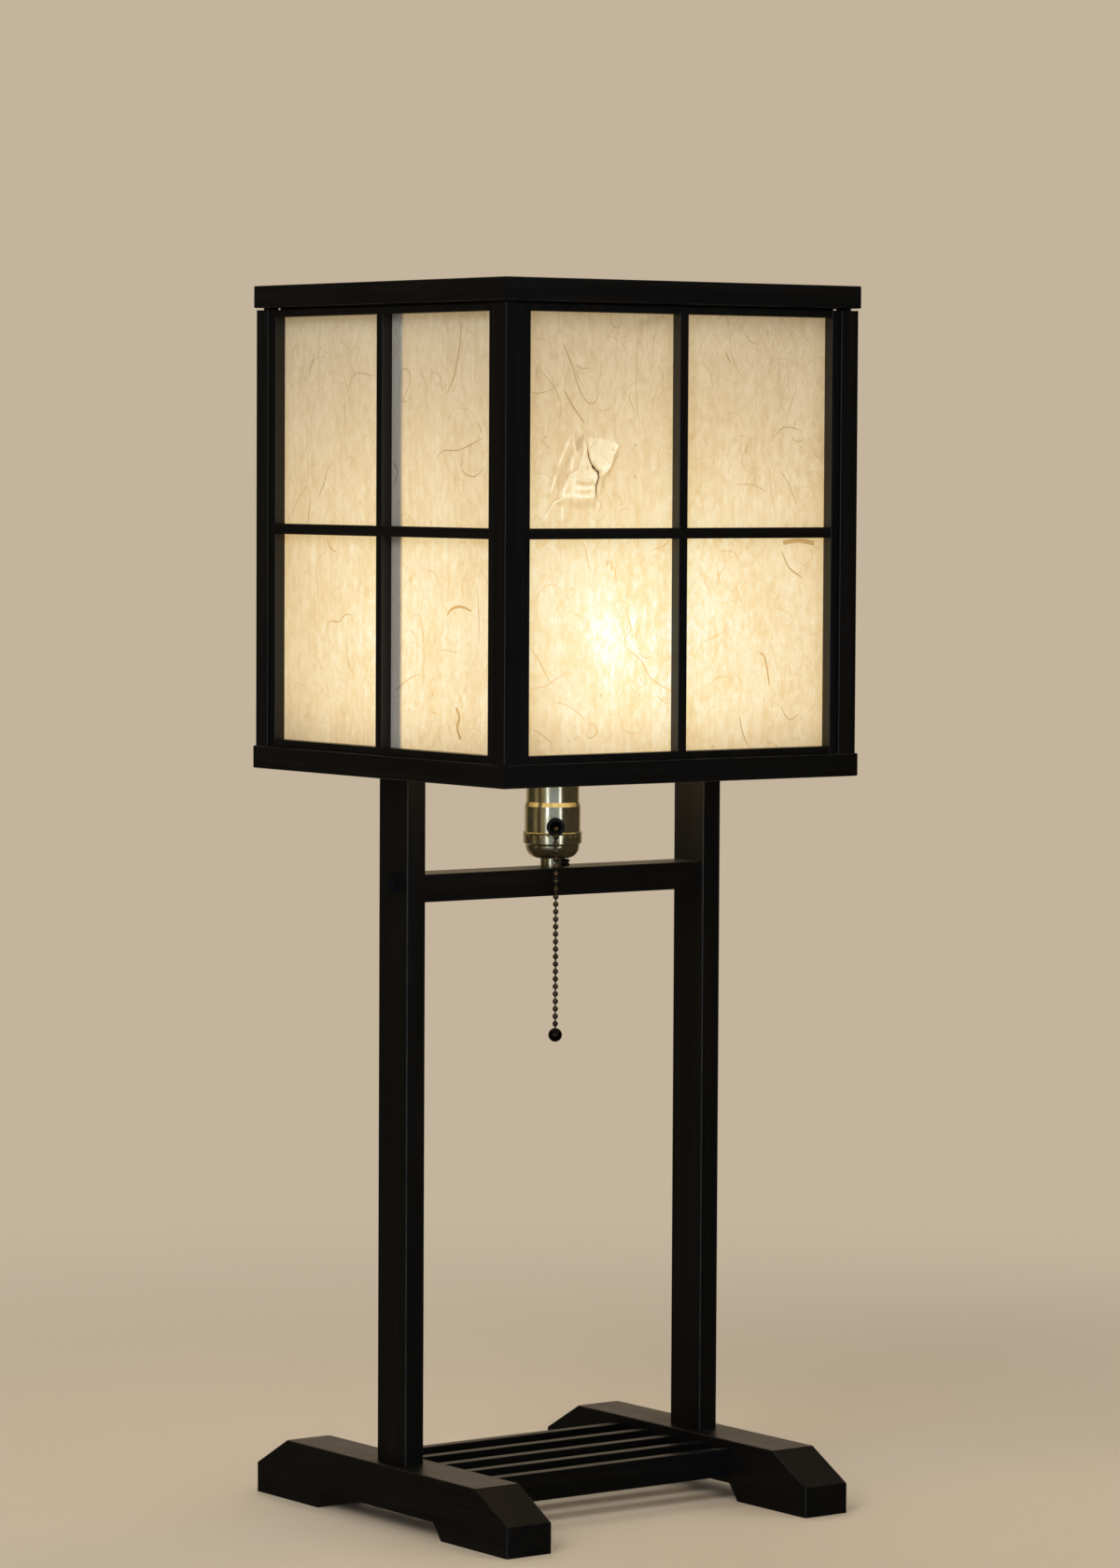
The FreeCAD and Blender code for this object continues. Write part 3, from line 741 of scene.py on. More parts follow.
@dataclass
class MetalAndMouldings:
    """The lamp holder, its inside parts, the screws and the pull chain."""

    cap: str = "socket_cap"
    cap_rim: float = 0.007

    def dress(self) -> Iterator[str]:
        """Finish each piece by its slot in the record, the cap as a duller one, and yield its name."""
        made = {slot: finish.material() for slot, finish in FINISHES.items()}
        for part in frame["record"]["subparts"]:
            if part["material_slot"] in made and part["node"] != self.cap:
                yield put_on(part["node"], made[part["material_slot"]])
        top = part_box(self.cap)[1].z
        ridged = replace(CAP_BRASS, ridges=(top - CAP_BRASS.ridge_half, top - self.cap_rim))
        yield put_on(self.cap, ridged.material())


@dataclass
class Bulb:
    """The frosted globe and the light that it gives inside the shade."""

    node: str = "bulb_globe"
    body: str = "bulb"
    power: float = 2.0
    warmth: Colour = (1.0, 0.78, 0.48)
    glass_clearance: float = 0.001

    def build(self) -> Iterator[str]:
        """Finish the globe, hang a lamp in its middle, and yield their names."""
        low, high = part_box(self.node)
        radius = (high.x - low.x) / 2
        middle = Vector(((low.x + high.x) / 2, (low.y + high.y) / 2, high.z - radius))
        put_on(self.node, FrostedGlass().material(middle.z, radius))
        frame["nodes"][self.node].visible_shadow = False
        light = bpy.data.lights.new("bulb_light", "POINT")
        light.energy = self.power
        light.color = self.warmth
        light.shadow_soft_size = radius - self.glass_clearance
        lamp = add_object("bulb_light", light)
        lamp.location = middle
        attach(lamp, self.body)
        self.spare_glass(lamp)
        yield from (self.node, lamp.name)

    def spare_glass(self, lamp: Object) -> None:
        """Keep the lamp's light off its own globe, whose finish glows already.

        Args:
            lamp: The lamp in the globe.
        """
        spared = bpy.data.collections.new("spared_by_bulb_light")
        spared.objects.link(frame["nodes"][self.node])
        spared.collection_objects[0].light_linking.link_state = "EXCLUDE"
        lamp.light_linking.receiver_collection = spared


def from_stretch(spot: Place, start: Place, stop: Place) -> Triple:
    """Measure how a spot lies to a straight stretch of a line.

    Args:
        spot: The place that is asked about.
        start: Where the stretch starts.
        stop: Where it ends.

    Returns:
        The distance, how far along the stretch the nearest point is, and the side (positive on the left).
    """
    run, rise = stop[0] - start[0], stop[1] - start[1]
    right, over = spot[0] - start[0], spot[1] - start[1]
    share = max(0.0, min(1.0, (right * run + over * rise) / (run * run + rise * rise)))
    return math.hypot(right - share * run, over - share * rise), share, run * over - rise * right


@dataclass(frozen=True)
class Crease:
    """A fold or tear in the paper, in millimetres on the sheet; its pairs are for its left and right side,
    and its pale pair paints light where positive and shade where negative.
    """

    line: tuple[Place, ...]
    height: float
    reach: Span
    pale: Span = (0.0, 0.0)
    torn_and_shaded: bool = False
    end_slope: float = 4.0
    end_level: float = 0.3

    def at(self, spot: Place) -> Triple:
        """Work out the fold at one spot.

        Args:
            spot: How far to the right and how high the spot is.

        Returns:
            How far the paper stands out there, how much painted light (plus) or painted shade (minus) it
            gets, and how far it is torn.
        """
        measures = [from_stretch(spot, *ends) for ends in zip(self.line, self.line[1:])]
        index, (away, share, side) = min(enumerate(measures), key=lambda item: item[1][0])
        rise = self.end_slope * ((index + share) / len(measures))
        end = min(1.0, rise + self.end_level, self.end_slope - rise + self.end_level)
        which = 0 if side > 0 else 1
        strength = math.exp(-(away / self.reach[which]) ** 2) * end
        return self.height * strength, self.pale[which] * strength, strength if self.torn_and_shaded else 0.0


@dataclass(frozen=True)
class Patch:
    """A part of the sheet by the folds with painted light where pale is positive and painted shade where it
    is negative, with its corners in millimetres.
    """

    corners: tuple[Place, ...]
    pale: float
    edge: float

    def at(self, spot: Place) -> float:
        """Work out the patch at one spot.

        Args:
            spot: How far to the right and how high the spot is.

        Returns:
            How much painted light (plus) or painted shade (minus) the paper gets there.
        """
        inside = False
        nearest = math.inf
        for start, stop in zip(self.corners, self.corners[1:] + self.corners[:1]):
            away, _, side = from_stretch(spot, start, stop)
            nearest = min(nearest, away)
            if (start[1] > spot[1]) != (stop[1] > spot[1]) and (side > 0) == (stop[1] > start[1]):
                inside = not inside
        return self.pale * min(1.0, nearest / self.edge) if inside else 0.0


# Painted light on the lifted flap and creased paper by the tear, and painted shadows beside its folds.
FRONT_PATCHES = (
    Patch(((-62, 607), (-47, 606), (-42, 604), (-41, 602), (-46, 594), (-46, 590), (-52, 585), (-55, 590),
           (-59, 594), (-61, 600)), 0.55, 0.9),
    Patch(((-63, 606), (-61, 599), (-59, 594), (-55, 590), (-53, 587), (-55, 577), (-56, 573), (-80, 573),
           (-78, 580), (-75, 585), (-68, 589), (-66, 596)), 0.6, 1.2),
    Patch(((-63, 609), (-67, 607), (-70, 604), (-70, 599), (-66, 598), (-63, 605)), -0.85, 1.4),
    Patch(((-69, 584), (-61, 583), (-56, 584), (-56, 580), (-64, 579.5), (-69, 580.5)), -0.9, 1.4),
    Patch(((-69, 578), (-56, 579), (-57, 576), (-63, 575), (-70, 576)), -0.7, 1.4),
    Patch(((-76, 580), (-71, 581), (-72, 576), (-76, 576)), -0.4, 1.2),
    Patch(((-74, 573), (-56, 573), (-55, 567), (-75, 567)), -0.4, 2.0),
    Patch(((-83, 571), (-80, 572), (-76, 572), (-78, 568)), -0.6, 1.2),
    Patch(((-71, 604), (-69, 597), (-71, 595), (-74, 588), (-81, 576), (-83, 583), (-78, 592)), -0.4, 1.5),
    Patch(((-83, 594), (-81, 589), (-86, 575), (-89, 567), (-88, 576), (-86, 589)), -0.4, 1.5),
    Patch(((-40, 601), (-39, 596), (-43, 590), (-48, 582), (-51, 575), (-53, 575), (-52, 584), (-46, 590),
           (-45, 594)), -0.6, 1.6),
    Patch(((-29, 663), (-4, 671), (-4, 677), (-29, 671)), -0.5, 3.0),
)

# The front sheet's folds and tear; their pale pairs paint highlights and shadows beside each fold.
FRONT_CREASES = (
    Crease(((-52, 585), (-48, 589), (-46, 591), (-44, 597), (-41, 602), (-42, 604)),
           2.0, (3, 1), (0.4, -0.6)),
    Crease(((-62, 603), (-66, 596), (-68.5, 589), (-75, 586), (-78, 580), (-81, 575)),
           1.8, (2, 1.6), (0.6, -0.5)),
    Crease(((-77, 574.5), (-84.5, 571.5), (-87, 568), (-91, 562)), 1.2, (1.3, 1.4), (1.2, -0.5)),
    Crease(((-73, 606), (-76, 600), (-78.5, 595.5), (-81, 590)), 0.8, (0.8, 0.8), (1.1, 1.1)),
    Crease(((-70.5, 596), (-71.5, 592), (-72.5, 587.5)), 0.6, (0.8, 0.8), (1, 1)),
    Crease(((-83, 585.5), (-84, 581.5), (-86, 576.5)), 0.6, (0.8, 0.8), (1.1, 1.1)),
    Crease(((-71, 609), (-69.5, 599), (-68.5, 596)), 0.4, (0.6, 0.6), (0.6, 0.6)),
    Crease(((-75.5, 585.5), (-71.5, 586), (-68, 586.5)), 0.8, (1.2, 1.2), (0.5, 0.5)),
    Crease(((-69.5, 579.5), (-62.5, 578.5), (-55.5, 579.5)), 0.4, (0.7, 0.7), (0.4, 0.4)),
    Crease(((-78, 574.5), (-70.5, 575), (-62.5, 573.5), (-56, 575)), 0.7, (0.9, 0.9), (0.4, 0.4)),
    Crease(((-77, 581.5), (-77.5, 577.5), (-76.5, 573.5)), 0.4, (0.7, 0.7), (0.7, 0.7)),
    Crease(((-69, 585), (-70.5, 580), (-70.5, 575)), 0.4, (0.7, 0.7), (0.6, 0.6)),
    Crease(((-78, 571), (-78, 567), (-77.5, 561)), 0.4, (0.7, 0.7), (0.7, 0.7)),
    Crease(((-55.5, 577.5), (-55, 573), (-53, 570.5), (-53.5, 567)), 0.8, (1.2, 1), (-0.5, 0.7)),
    Crease(((-60, 591), (-61, 589)), -0.3, (0.7, 0.7), (-1, -1)),
    Crease(((-61.5, 606), (-61, 602), (-59.5, 595.5), (-58, 592.5), (-55, 590), (-52.5, 587.5), (-53, 584.5),
            (-54.5, 580.5), (-55.5, 573), (-56, 568)), -0.8, (0.85, 0.85), torn_and_shaded=True),
    Crease(((-57.5, 592), (-56, 590), (-52.7, 587.7), (-53, 585)), -1.2, (1.5, 1.5), torn_and_shaded=True),
)


@dataclass(frozen=True)
class Strand:
    """A strand of bast or a strip of bark in the paper, with its line in millimetres on the sheet."""

    width: float
    tone: float
    line: tuple[Place, ...]


def strands(*rows: Sequence[Any]) -> tuple[Strand, ...]:
    """Return strands from rows of a width, a tone and the places on the line."""
    return tuple(Strand(width, tone, tuple(line)) for width, tone, *line in rows)


FRONT_STRANDS = strands(
    (0.55, 0.4, (-78, 657), (-72, 645), (-67, 633), (-62, 626), (-57, 625), (-54, 630), (-55, 634)),
    (0.35, 0.3, (-77, 657), (-74, 650), (-71, 645), (-66, 636)),
    (1.2, 0.25, (-77, 632), (-71, 623), (-63, 614)),
    (0.4, 0.35, (-70, 646), (-66, 644), (-60, 644)),
    (0.4, 0.35, (-94, 643), (-85, 635), (-79, 624), (-81, 616)),
    (0.4, 0.2, (-101, 631), (-94, 630), (-86, 632), (-81, 635)),
    (0.35, 0.25, (-55, 623), (-52, 621), (-47, 622), (-44, 625)),
    (0.5, 0.25, (-46, 674), (-45, 668), (-42, 666), (-39, 668), (-39, 674)),
    (0.5, 0.2, (-31, 632), (-33, 629), (-32, 626), (-30, 622)),
    (0.45, 0.25, (-28, 661), (-28, 630), (-26, 613)),
    (0.4, 0.3, (-94, 606), (-90, 603), (-86, 600)),
    (0.5, 0.2, (-45, 576), (-39, 574), (-38, 569)),
    (0.35, 0.5, (-17, 545), (-10, 547), (-5, 550)),
    (0.5, 0.35, (-64, 550), (-62, 546), (-61, 541), (-60, 537), (-58, 534)),
    (0.9, 0.1, (-36, 515), (-33, 508), (-31, 502), (-35, 497), (-35, 492)),
    (0.6, 0.3, (-35, 492), (-24, 485), (-17, 475), (-2, 467)),
    (0.5, 0.3, (-26, 489), (-21, 486), (-16, 487)),
    (0.5, 0.35, (-99, 493), (-93, 486), (-87, 476), (-83, 473)),
    (0.4, 0.3, (-98, 471), (-89, 472), (-81, 476), (-74, 479)),
    (0.4, 0.35, (-83, 463), (-76, 462), (-68, 458), (-62, 453)),
    (0.5, 0.4, (-61, 445), (-58, 443), (-54, 446), (-56, 451), (-60, 450)),
    (0.35, 0.3, (-39, 463), (-38, 454), (-34, 446), (-23, 445)),
    (0.4, 0.4, (-13, 466), (-9, 462), (-3, 461)),
    (0.5, 0.35, (-97, 449), (-91, 446), (-84, 441)),
    (0.5, 0.45, (68, 607), (73, 612), (79, 613), (88, 611)),
    (0.45, 0.4, (80, 610), (82, 606), (86, 605), (90, 607)),
    (0.5, 0.4, (72, 589), (78, 582), (84, 570)),
    (0.4, 0.35, (42, 581), (52, 581), (63, 577)),
    (0.35, 0.25, (16, 649), (22, 643), (25, 633)),
    (0.4, 0.2, (37, 665), (37, 655), (41, 646), (47, 638)),
    (0.45, 0.3, (27, 672), (33, 674), (36, 668)),
    (0.45, 0.3, (47, 665), (51, 660), (56, 659)),
    (0.4, 0.4, (96, 603), (98, 597), (103, 596)),
    (0.4, 0.25, (65, 587), (66, 577), (69, 565)),
    (2.6, 0.4, (75, 548.6), (86, 549.8), (97, 548.2)),
    (0.8, 0.55, (74, 544), (79, 535), (89, 529)),
    (1.0, 0.5, (58, 488), (62, 486), (64, 480), (66, 469)),
    (0.8, 0.45, (45, 453), (47, 444), (51, 436)),
    (0.4, 0.3, (29, 544), (39, 544), (46, 537)),
    (0.45, 0.35, (24, 470), (28, 474), (36, 475)),
    (0.6, 0.4, (74, 457), (80, 450), (87, 453)),
)

LEFT_STRANDS = strands(
    (0.5, 0.3, (-73, 655), (-76, 648), (-79, 640)),
    (0.5, 0.35, (-41, 630), (-37, 638), (-30, 642), (-15, 640)),
    (0.7, 0.45, (-60, 590), (-64, 580), (-70, 572)),
    (0.6, 0.6, (-77, 572), (-79, 564), (-81, 556)),
    (0.4, 0.35, (-97, 561), (-90, 571), (-81, 578), (-78, 572)),
    (0.6, 0.5, (-62, 498), (-57, 503), (-48, 503), (-42, 507), (-36, 507)),
    (0.4, 0.4, (-42, 493), (-39, 481), (-35, 475), (-32, 483)),
    (0.4, 0.3, (-23, 524), (-21, 518), (-14, 516)),
    (0.8, 0.4, (-61, 549), (-57, 544), (-51, 542)),
    (0.5, 0.35, (10, 634), (13, 643), (19, 643), (21, 637), (14, 626), (24, 628)),
    (1.4, 0.1, (69, 669), (68, 657), (63, 640), (56, 630)),
    (0.6, 0.45, (47, 596), (54, 599), (62, 599), (71, 600), (90, 606)),
    (0.6, 0.45, (71, 598), (71, 588), (82, 585), (91, 590)),
    (0.35, 0.3, (56, 592), (63, 584), (69, 575), (74, 575)),
    (1.4, 0.5, (57, 509), (60, 512), (66, 514), (72, 514), (80, 512)),
    (0.5, 0.4, (22, 504), (26, 509), (31, 508), (33, 502), (35, 488), (33, 469)),
    (0.5, 0.5, (7, 466), (18, 472), (29, 476), (31, 474)),
    (0.4, 0.4, (37, 533), (45, 532), (50, 525)),
    (0.5, 0.5, (85, 526), (86, 514), (87, 503), (86, 494)),
    (0.4, 0.4, (50, 490), (58, 490), (68, 489)),
    (1.7, 0.55, (66, 459), (69, 454), (67, 448), (70, 442)),
    (0.7, 0.5, (4, 593), (9, 587), (5, 580)),
)


@dataclass(frozen=True)
class StrandKind:
    """A kind of strand that chance lays: how many, its least and most sizes in millimetres, and its curl."""

    count: int
    width: Span
    tone: Span
    length: Span
    curl: float


HAIRS = StrandKind(300, (0.12, 0.26), (0.0, 0.3), (6, 24), 1.0)
THIN_BAST = StrandKind(26, (0.2, 0.36), (0.1, 0.4), (10, 34), 0.7)
BARK_CHIPS = StrandKind(7, (0.5, 1.1), (0.05, 0.3), (3, 9), 0.4)
LONG_BAST = StrandKind(30, (0.4, 0.8), (0.3, 0.55), (10, 34), 1.3)


def reach(corners: Sequence[Vector], direction: Vector) -> list[float]:
    """Return how far a box's two corners lie in a direction, the smaller first."""
    return sorted(corner.dot(direction) for corner in corners)


@dataclass
class WashiFace:
    """One sheet of paper glued behind a sash, with the strands in it."""

    glow: Glow
    seed: int
    creases: tuple[Crease, ...] = ()
    patches: tuple[Patch, ...] = ()
    strands: tuple[Strand, ...] = ()
    kinds: tuple[StrandKind, ...] = (HAIRS, THIN_BAST, BARK_CHIPS)
    body: str = "lamp_frame"
    slot: str = "washi_paper"
    glued_margin: float = 0.0052
    pane_slope: float = 3.0
    bulge: float = 0.00045
    bulge_mean: float = 0.4
    bulge_density: Span = (28.0, 17.0)
    crease_slope: float = 2.0
    crease_room: float = 4.0
    darkest: float = -0.7
    coarse: float = 0.003
    fine: float = 0.00042
    strand_step: float = 0.0014
    fewest_steps: int = 4
    lean: float = 0.5
    first_turn: float = 0.09
    turn_change: float = 0.045
    turn_kept: float = 0.92
    fewest_points: int = 3
    blunt_width: float = 0.0015
    tip: float = 0.25
    proud: float = 0.00004
    proud_per_width: float = 0.06
    edge_proud: float = 0.00001

    def __post_init__(self) -> None:
        """Read the sheet's place and size from its CAD node."""
        self.face = self.glow.face
        self.node = f"paper_{self.face.value}"
        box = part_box(self.node)
        self.left, self.right = reach(box, self.face.along)
        self.inner, self.outer = reach(box, self.face.outward)
        self.low, self.high = box[0].z, box[1].z
        bar_ends = reach(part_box(f"sash_{self.face.value}_muntin_upright"), self.face.along)
        self.bar_half = (bar_ends[1] - bar_ends[0]) / 2
        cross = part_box(f"sash_{self.face.value}_muntin_cross")
        self.cross_low, self.cross_high = cross[0].z, cross[1].z

    def build(self) -> Iterator[str]:
        """Make the sheet and its strands, and yield their names."""
        for piece, finish in ((self.sheet(), Washi(self.glow)), (self.strand_net(), BarkFibre(self.glow))):
            piece.data.materials.append(finish.material())
            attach(piece, self.body)
            yield piece.name

    def point(self, along: float, up: float, out: float) -> Vector:
        """Return a point by its place on the sheet and how far out it is."""
        return self.face.along * along + self.face.outward * out + Vector((0, 0, up))

    def in_pane(self, along: float, up: float) -> float:
        """Find how free the paper is at one place.

        Args:
            along: How far to the right the place is.
            up: How high it is.

        Returns:
            1 in the middle of a pane and 0 where the paper is glued to the sash.
        """
        across = (abs(along) - self.bar_half) / (self.right - self.glued_margin - self.bar_half)
        if up < self.cross_low:
            rise = (up - self.low - self.glued_margin) / (self.cross_low - self.low - self.glued_margin)
        else:
            rise = (up - self.cross_high) / (self.high - self.glued_margin - self.cross_high)
        if not (0 < across < 1 and 0 < rise < 1):
            return 0.0
        return math.prod(min(1.0, self.pane_slope * math.sin(math.pi * share)) for share in (across, rise))

    def relief(self, along: float, up: float) -> Place:
        """Work out the paper's unevenness at one place.

        Args:
            along: How far to the right the place is.
            up: How high it is.

        Returns:
            How far the paper stands out there, in metres, and the folds' painted light (plus) and painted
            shade (minus), which is -1, the deepest painted shade, where it is torn.
        """
        free = self.in_pane(along, up)
        spot = (along / MM, up / MM)
        wave = Vector((along * self.bulge_density[0], up * self.bulge_density[1], self.seed))
        out = self.bulge * (noise.noise(wave) + self.bulge_mean) * free
        pale = torn_and_shaded = 0.0
        for crease in self.creases:
            lift, light, tear = crease.at(spot)
            out += lift * MM * min(1.0, self.crease_slope * free)
            pale += light
            torn_and_shaded = max(torn_and_shaded, tear)
        pale += sum(patch.at(spot) for patch in self.patches)
        pale = max(self.darkest, min(1.0, pale))
        return out, pale - (1 + pale) * torn_and_shaded

    def rulings(self, low: float, high: float, zone: Span) -> list[float]:
        """Space grid lines over a length, closer together in the creased zone.

        Args:
            low: The first line.
            high: The last line.
            zone: Where the close lines start and stop.

        Returns:
            The lines' places.
        """
        stops = [(low, self.coarse), (high, self.coarse)]
        if self.creases:
            stops[1:1] = [(zone[0], self.fine), (zone[1], self.coarse)]
        lines = []
        for (start, pitch), (stop, _) in zip(stops, stops[1:]):
            count = max(1, round((stop - start) / pitch))
            lines += [start + (stop - start) * step / count for step in range(count)]
        return lines + [high]

    def creased_zone(self) -> list[Span]:
        """Return the span along and the span up that hold all the creases."""
        spots = [spot for crease in self.creases for spot in crease.line] or [(0.0, 0.0)]
        room = self.crease_room
        return [((min(sides) - room) * MM, (max(sides) + room) * MM) for sides in zip(*spots)]

    def sheet(self) -> Object:
        """Return the sheet as a closed skin of the paper's thickness."""
        zone_along, zone_up = self.creased_zone()
        alongs = self.rulings(self.left, self.right, zone_along)
        ups = self.rulings(self.low, self.high, zone_up)
        outside, inside, folds = [], [], []
        for up in ups:
            for along in alongs:
                out, pale = self.relief(along, up)
                outside.append(self.point(along, up, self.outer + out))
                inside.append(self.point(along, up, self.inner + out))
                folds.append(pale)
        columns, rows, count = len(alongs), len(ups), len(outside)
        faces = []
        for row in range(rows - 1):
            for column in range(columns - 1):
                corner = row * columns + column
                quad = (corner, corner + 1, corner + columns + 1, corner + columns)
                faces.append(quad)
                faces.append(tuple(count + number for number in reversed(quad)))
        rim = list(range(columns))
        rim += [row * columns + columns - 1 for row in range(1, rows)]
        rim += [(rows - 1) * columns + column for column in range(columns - 2, -1, -1)]
        rim += [row * columns for row in range(rows - 2, 0, -1)]
        for first, second in zip(rim, rim[1:] + rim[:1]):
            faces.append((second, first, count + first, count + second))
        piece = solid_piece(f"washi_{self.face.value}", outside + inside, faces)
        # The fold numbers carry the folds' painted light and shade, and the tear's painted shade.
        store_numbers(piece, "fold", folds + folds)
        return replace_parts(piece, self.node)

    def strand_net(self) -> Object:
        """Return all the strands of the sheet as one piece of many closed strips."""
        points, faces, tones = [], [], []
        for width, tone, line in self.all_strands():
            self.add_strip(line, width * MM, points, faces)
            tones += [tone] * (len(points) - len(tones))
        piece = solid_piece(f"bast_{self.face.value}", points, faces)
        store_numbers(piece, "tone", tones)
        return piece

    def all_strands(self) -> Iterator[tuple[float, float, list[Place]]]:
        """Yield each strand's width in millimetres, its tone and its line in metres."""
        for strand in self.strands:
            line = [(along * MM, up * MM) for along, up in strand.line]
            yield strand.width, strand.tone, flowing(line, self.strand_step)
        dice = random.Random(self.seed)
        for kind in self.kinds:
            for _ in range(kind.count):
                width, tone, length = (dice.uniform(*span) for span in (kind.width, kind.tone, kind.length))
                yield width, tone, self.wander(dice, length, kind.curl)

    def wander(self, dice: random.Random, length: float, curl: float) -> list[Place]:
        """Lay a strand of random curls.

        Args:
            dice: The seeded source of chance.
            length: How long the strand is, in millimetres.
            curl: How strongly it curls.

        Returns:
            Its line on the sheet, in metres.
        """
        margin = 2 * self.glued_margin
        along = dice.uniform(self.left + margin, self.right - margin)
        up = dice.uniform(self.low + margin, self.high - margin)
        heading = dice.gauss(math.pi / 2, self.lean)
        turn = dice.gauss(0, self.first_turn * curl)
        step = self.strand_step
        line = [(along, up)]
        for _ in range(max(self.fewest_steps, round(length * MM / step))):
            turn = self.turn_kept * turn + dice.gauss(0, self.turn_change * curl)
            heading += turn
            along += step * math.cos(heading)
            up += step * math.sin(heading)
            if not (self.left + step < along < self.right - step and self.low + step < up < self.high - step):
                break
            line.append((along, up))
        return line

    def add_strip(self, line: list[Place], width: float, points: list[Vector],
                  faces: list[tuple[int, ...]]) -> None:
        """Add one strand, a strip that shows on both sides of the sheet.

        Args:
            line: The strand's line on the sheet, in metres.
            width: Its width at the middle, in metres.
            points: The net's corners, which the strand's are added to.
            faces: The net's faces, which the strand's are added to.
        """
        if len(line) < self.fewest_points:
            return
        first = len(points)
        proud, edge_proud = self.proud + self.proud_per_width * width, self.edge_proud
        last = len(line) - 1
        for index, (along, up) in enumerate(line):
            before, after = line[max(0, index - 1)], line[min(last, index + 1)]
            run, rise = after[0] - before[0], after[1] - before[1]
            size = math.hypot(run, rise) or 1.0
            swell = 1.0 if width > self.blunt_width else math.sin(math.pi * (index / last)) ** 0.5
            half = width / 2 * (self.tip + (1 - self.tip) * swell)
            side = (-rise / size * half, run / size * half)
            out = self.relief(along, up)[0]
            outside, inside = self.outer + out, self.inner + out
            section = (
                (0, outside + proud), (1, outside + edge_proud), (1, inside - edge_proud),
                (0, inside - proud), (-1, inside - edge_proud), (-1, outside + edge_proud),
            )
            points += [self.point(along + way * side[0], up + way * side[1], depth) for way, depth in section]
        corners = len(section)
        for index in range(last):
            base = first + corners * index
            for edge in range(corners):
                turn = (edge + 1) % corners
                faces.append((base + edge, base + corners + edge, base + corners + turn, base + turn))
        faces.append(tuple(first + edge for edge in range(corners)))
        faces.append(tuple(first + corners * last + edge for edge in reversed(range(corners))))


def flowing(places: list[Place], step: float) -> list[Place]:
    """Draw a smooth line through a few places.

    Args:
        places: The places that the line passes through.
        step: The distance between its points.

    Returns:
        The line's points.
    """
    knots = [places[0], *places, places[-1]]
    line = []
    for before, start, stop, after in zip(knots, knots[1:], knots[2:], knots[3:]):
        count = max(2, round(math.dist(start, stop) / step))
        for index in range(count):
            share = index / count
            square, cube = share ** 2, share ** 3
            weights = (
                (2 * square - share - cube) / 2,
                (3 * cube - 5 * square + 2) / 2,
                (4 * square - 3 * cube + share) / 2,
                (cube - square) / 2,
            )
            spots = (before, start, stop, after)
            line.append(tuple(sum(w * spot[k] for w, spot in zip(weights, spots)) for k in (0, 1)))
    return line + [places[-1]]


@dataclass
class Shade:
    """The four lit sheets of washi."""

    hot_height: float = 0.497
    peak: float = 0.7

    def glow(self, face: Face, hot_along: float, share: float, core: float) -> Glow:
        """Work out the light on one face.

        Args:
            face: The side of the shade.
            hot_along: How far to the right its hottest place is, in metres.
            share: Its brightness as a share of the front's.
            core: How much brighter the bulb's image is.

        Returns:
            The face's light.
        """
        leg_low, leg_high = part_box("leg_left")
        leg_half = (leg_high.y - leg_low.y) / 2 if face in (Face.LEFT, Face.RIGHT) else 0.0
        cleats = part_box("cap_cleats")[0].z
        return Glow(face, hot_along, self.hot_height, self.peak * share, core, leg_half, cleats)

    def faces(self) -> Iterator[WashiFace]:
        """Yield the four faces, with the front and left ones as the light falls in the photograph."""
        front = self.glow(Face.FRONT, -0.018, 1.0, 0.12)
        yield WashiFace(front, 11, FRONT_CREASES, FRONT_PATCHES, FRONT_STRANDS)
        yield WashiFace(self.glow(Face.LEFT, 0.02, 0.9, 0.03), 23, strands=LEFT_STRANDS)
        made_up = (HAIRS, THIN_BAST, BARK_CHIPS, LONG_BAST)
        yield WashiFace(self.glow(Face.BACK, 0.01, 0.95, 0.05), 37, kinds=made_up)
        yield WashiFace(self.glow(Face.RIGHT, -0.01, 0.9, 0.03), 41, kinds=made_up)

    def build(self) -> Iterator[str]:
        """Make every face, and yield its pieces' names."""
        for face in self.faces():
            yield from face.build()


@dataclass(frozen=True)
class Softbox:
    """A soft studio lamp."""

    name: str
    place: Triple
    wide: float
    tall: float
    power: float
    mirrored: bool = False
    tint: Colour = (1.0, 0.98, 0.95)
    aim: Triple = (0.0, 0.0, 0.4)

    def build(self) -> str:
        """Make the lamp and return its name."""
        light = bpy.data.lights.new(self.name, "AREA")
        light.shape = "RECTANGLE"
        light.size, light.size_y = self.wide, self.tall
        light.energy = self.power
        light.color = self.tint
        lamp = add_object(self.name, light)
        lamp.visible_glossy = self.mirrored
        lamp.location = self.place
        lamp.rotation_euler = (Vector(self.aim) - Vector(self.place)).to_track_quat("-Z", "Y").to_euler()
        return lamp.name


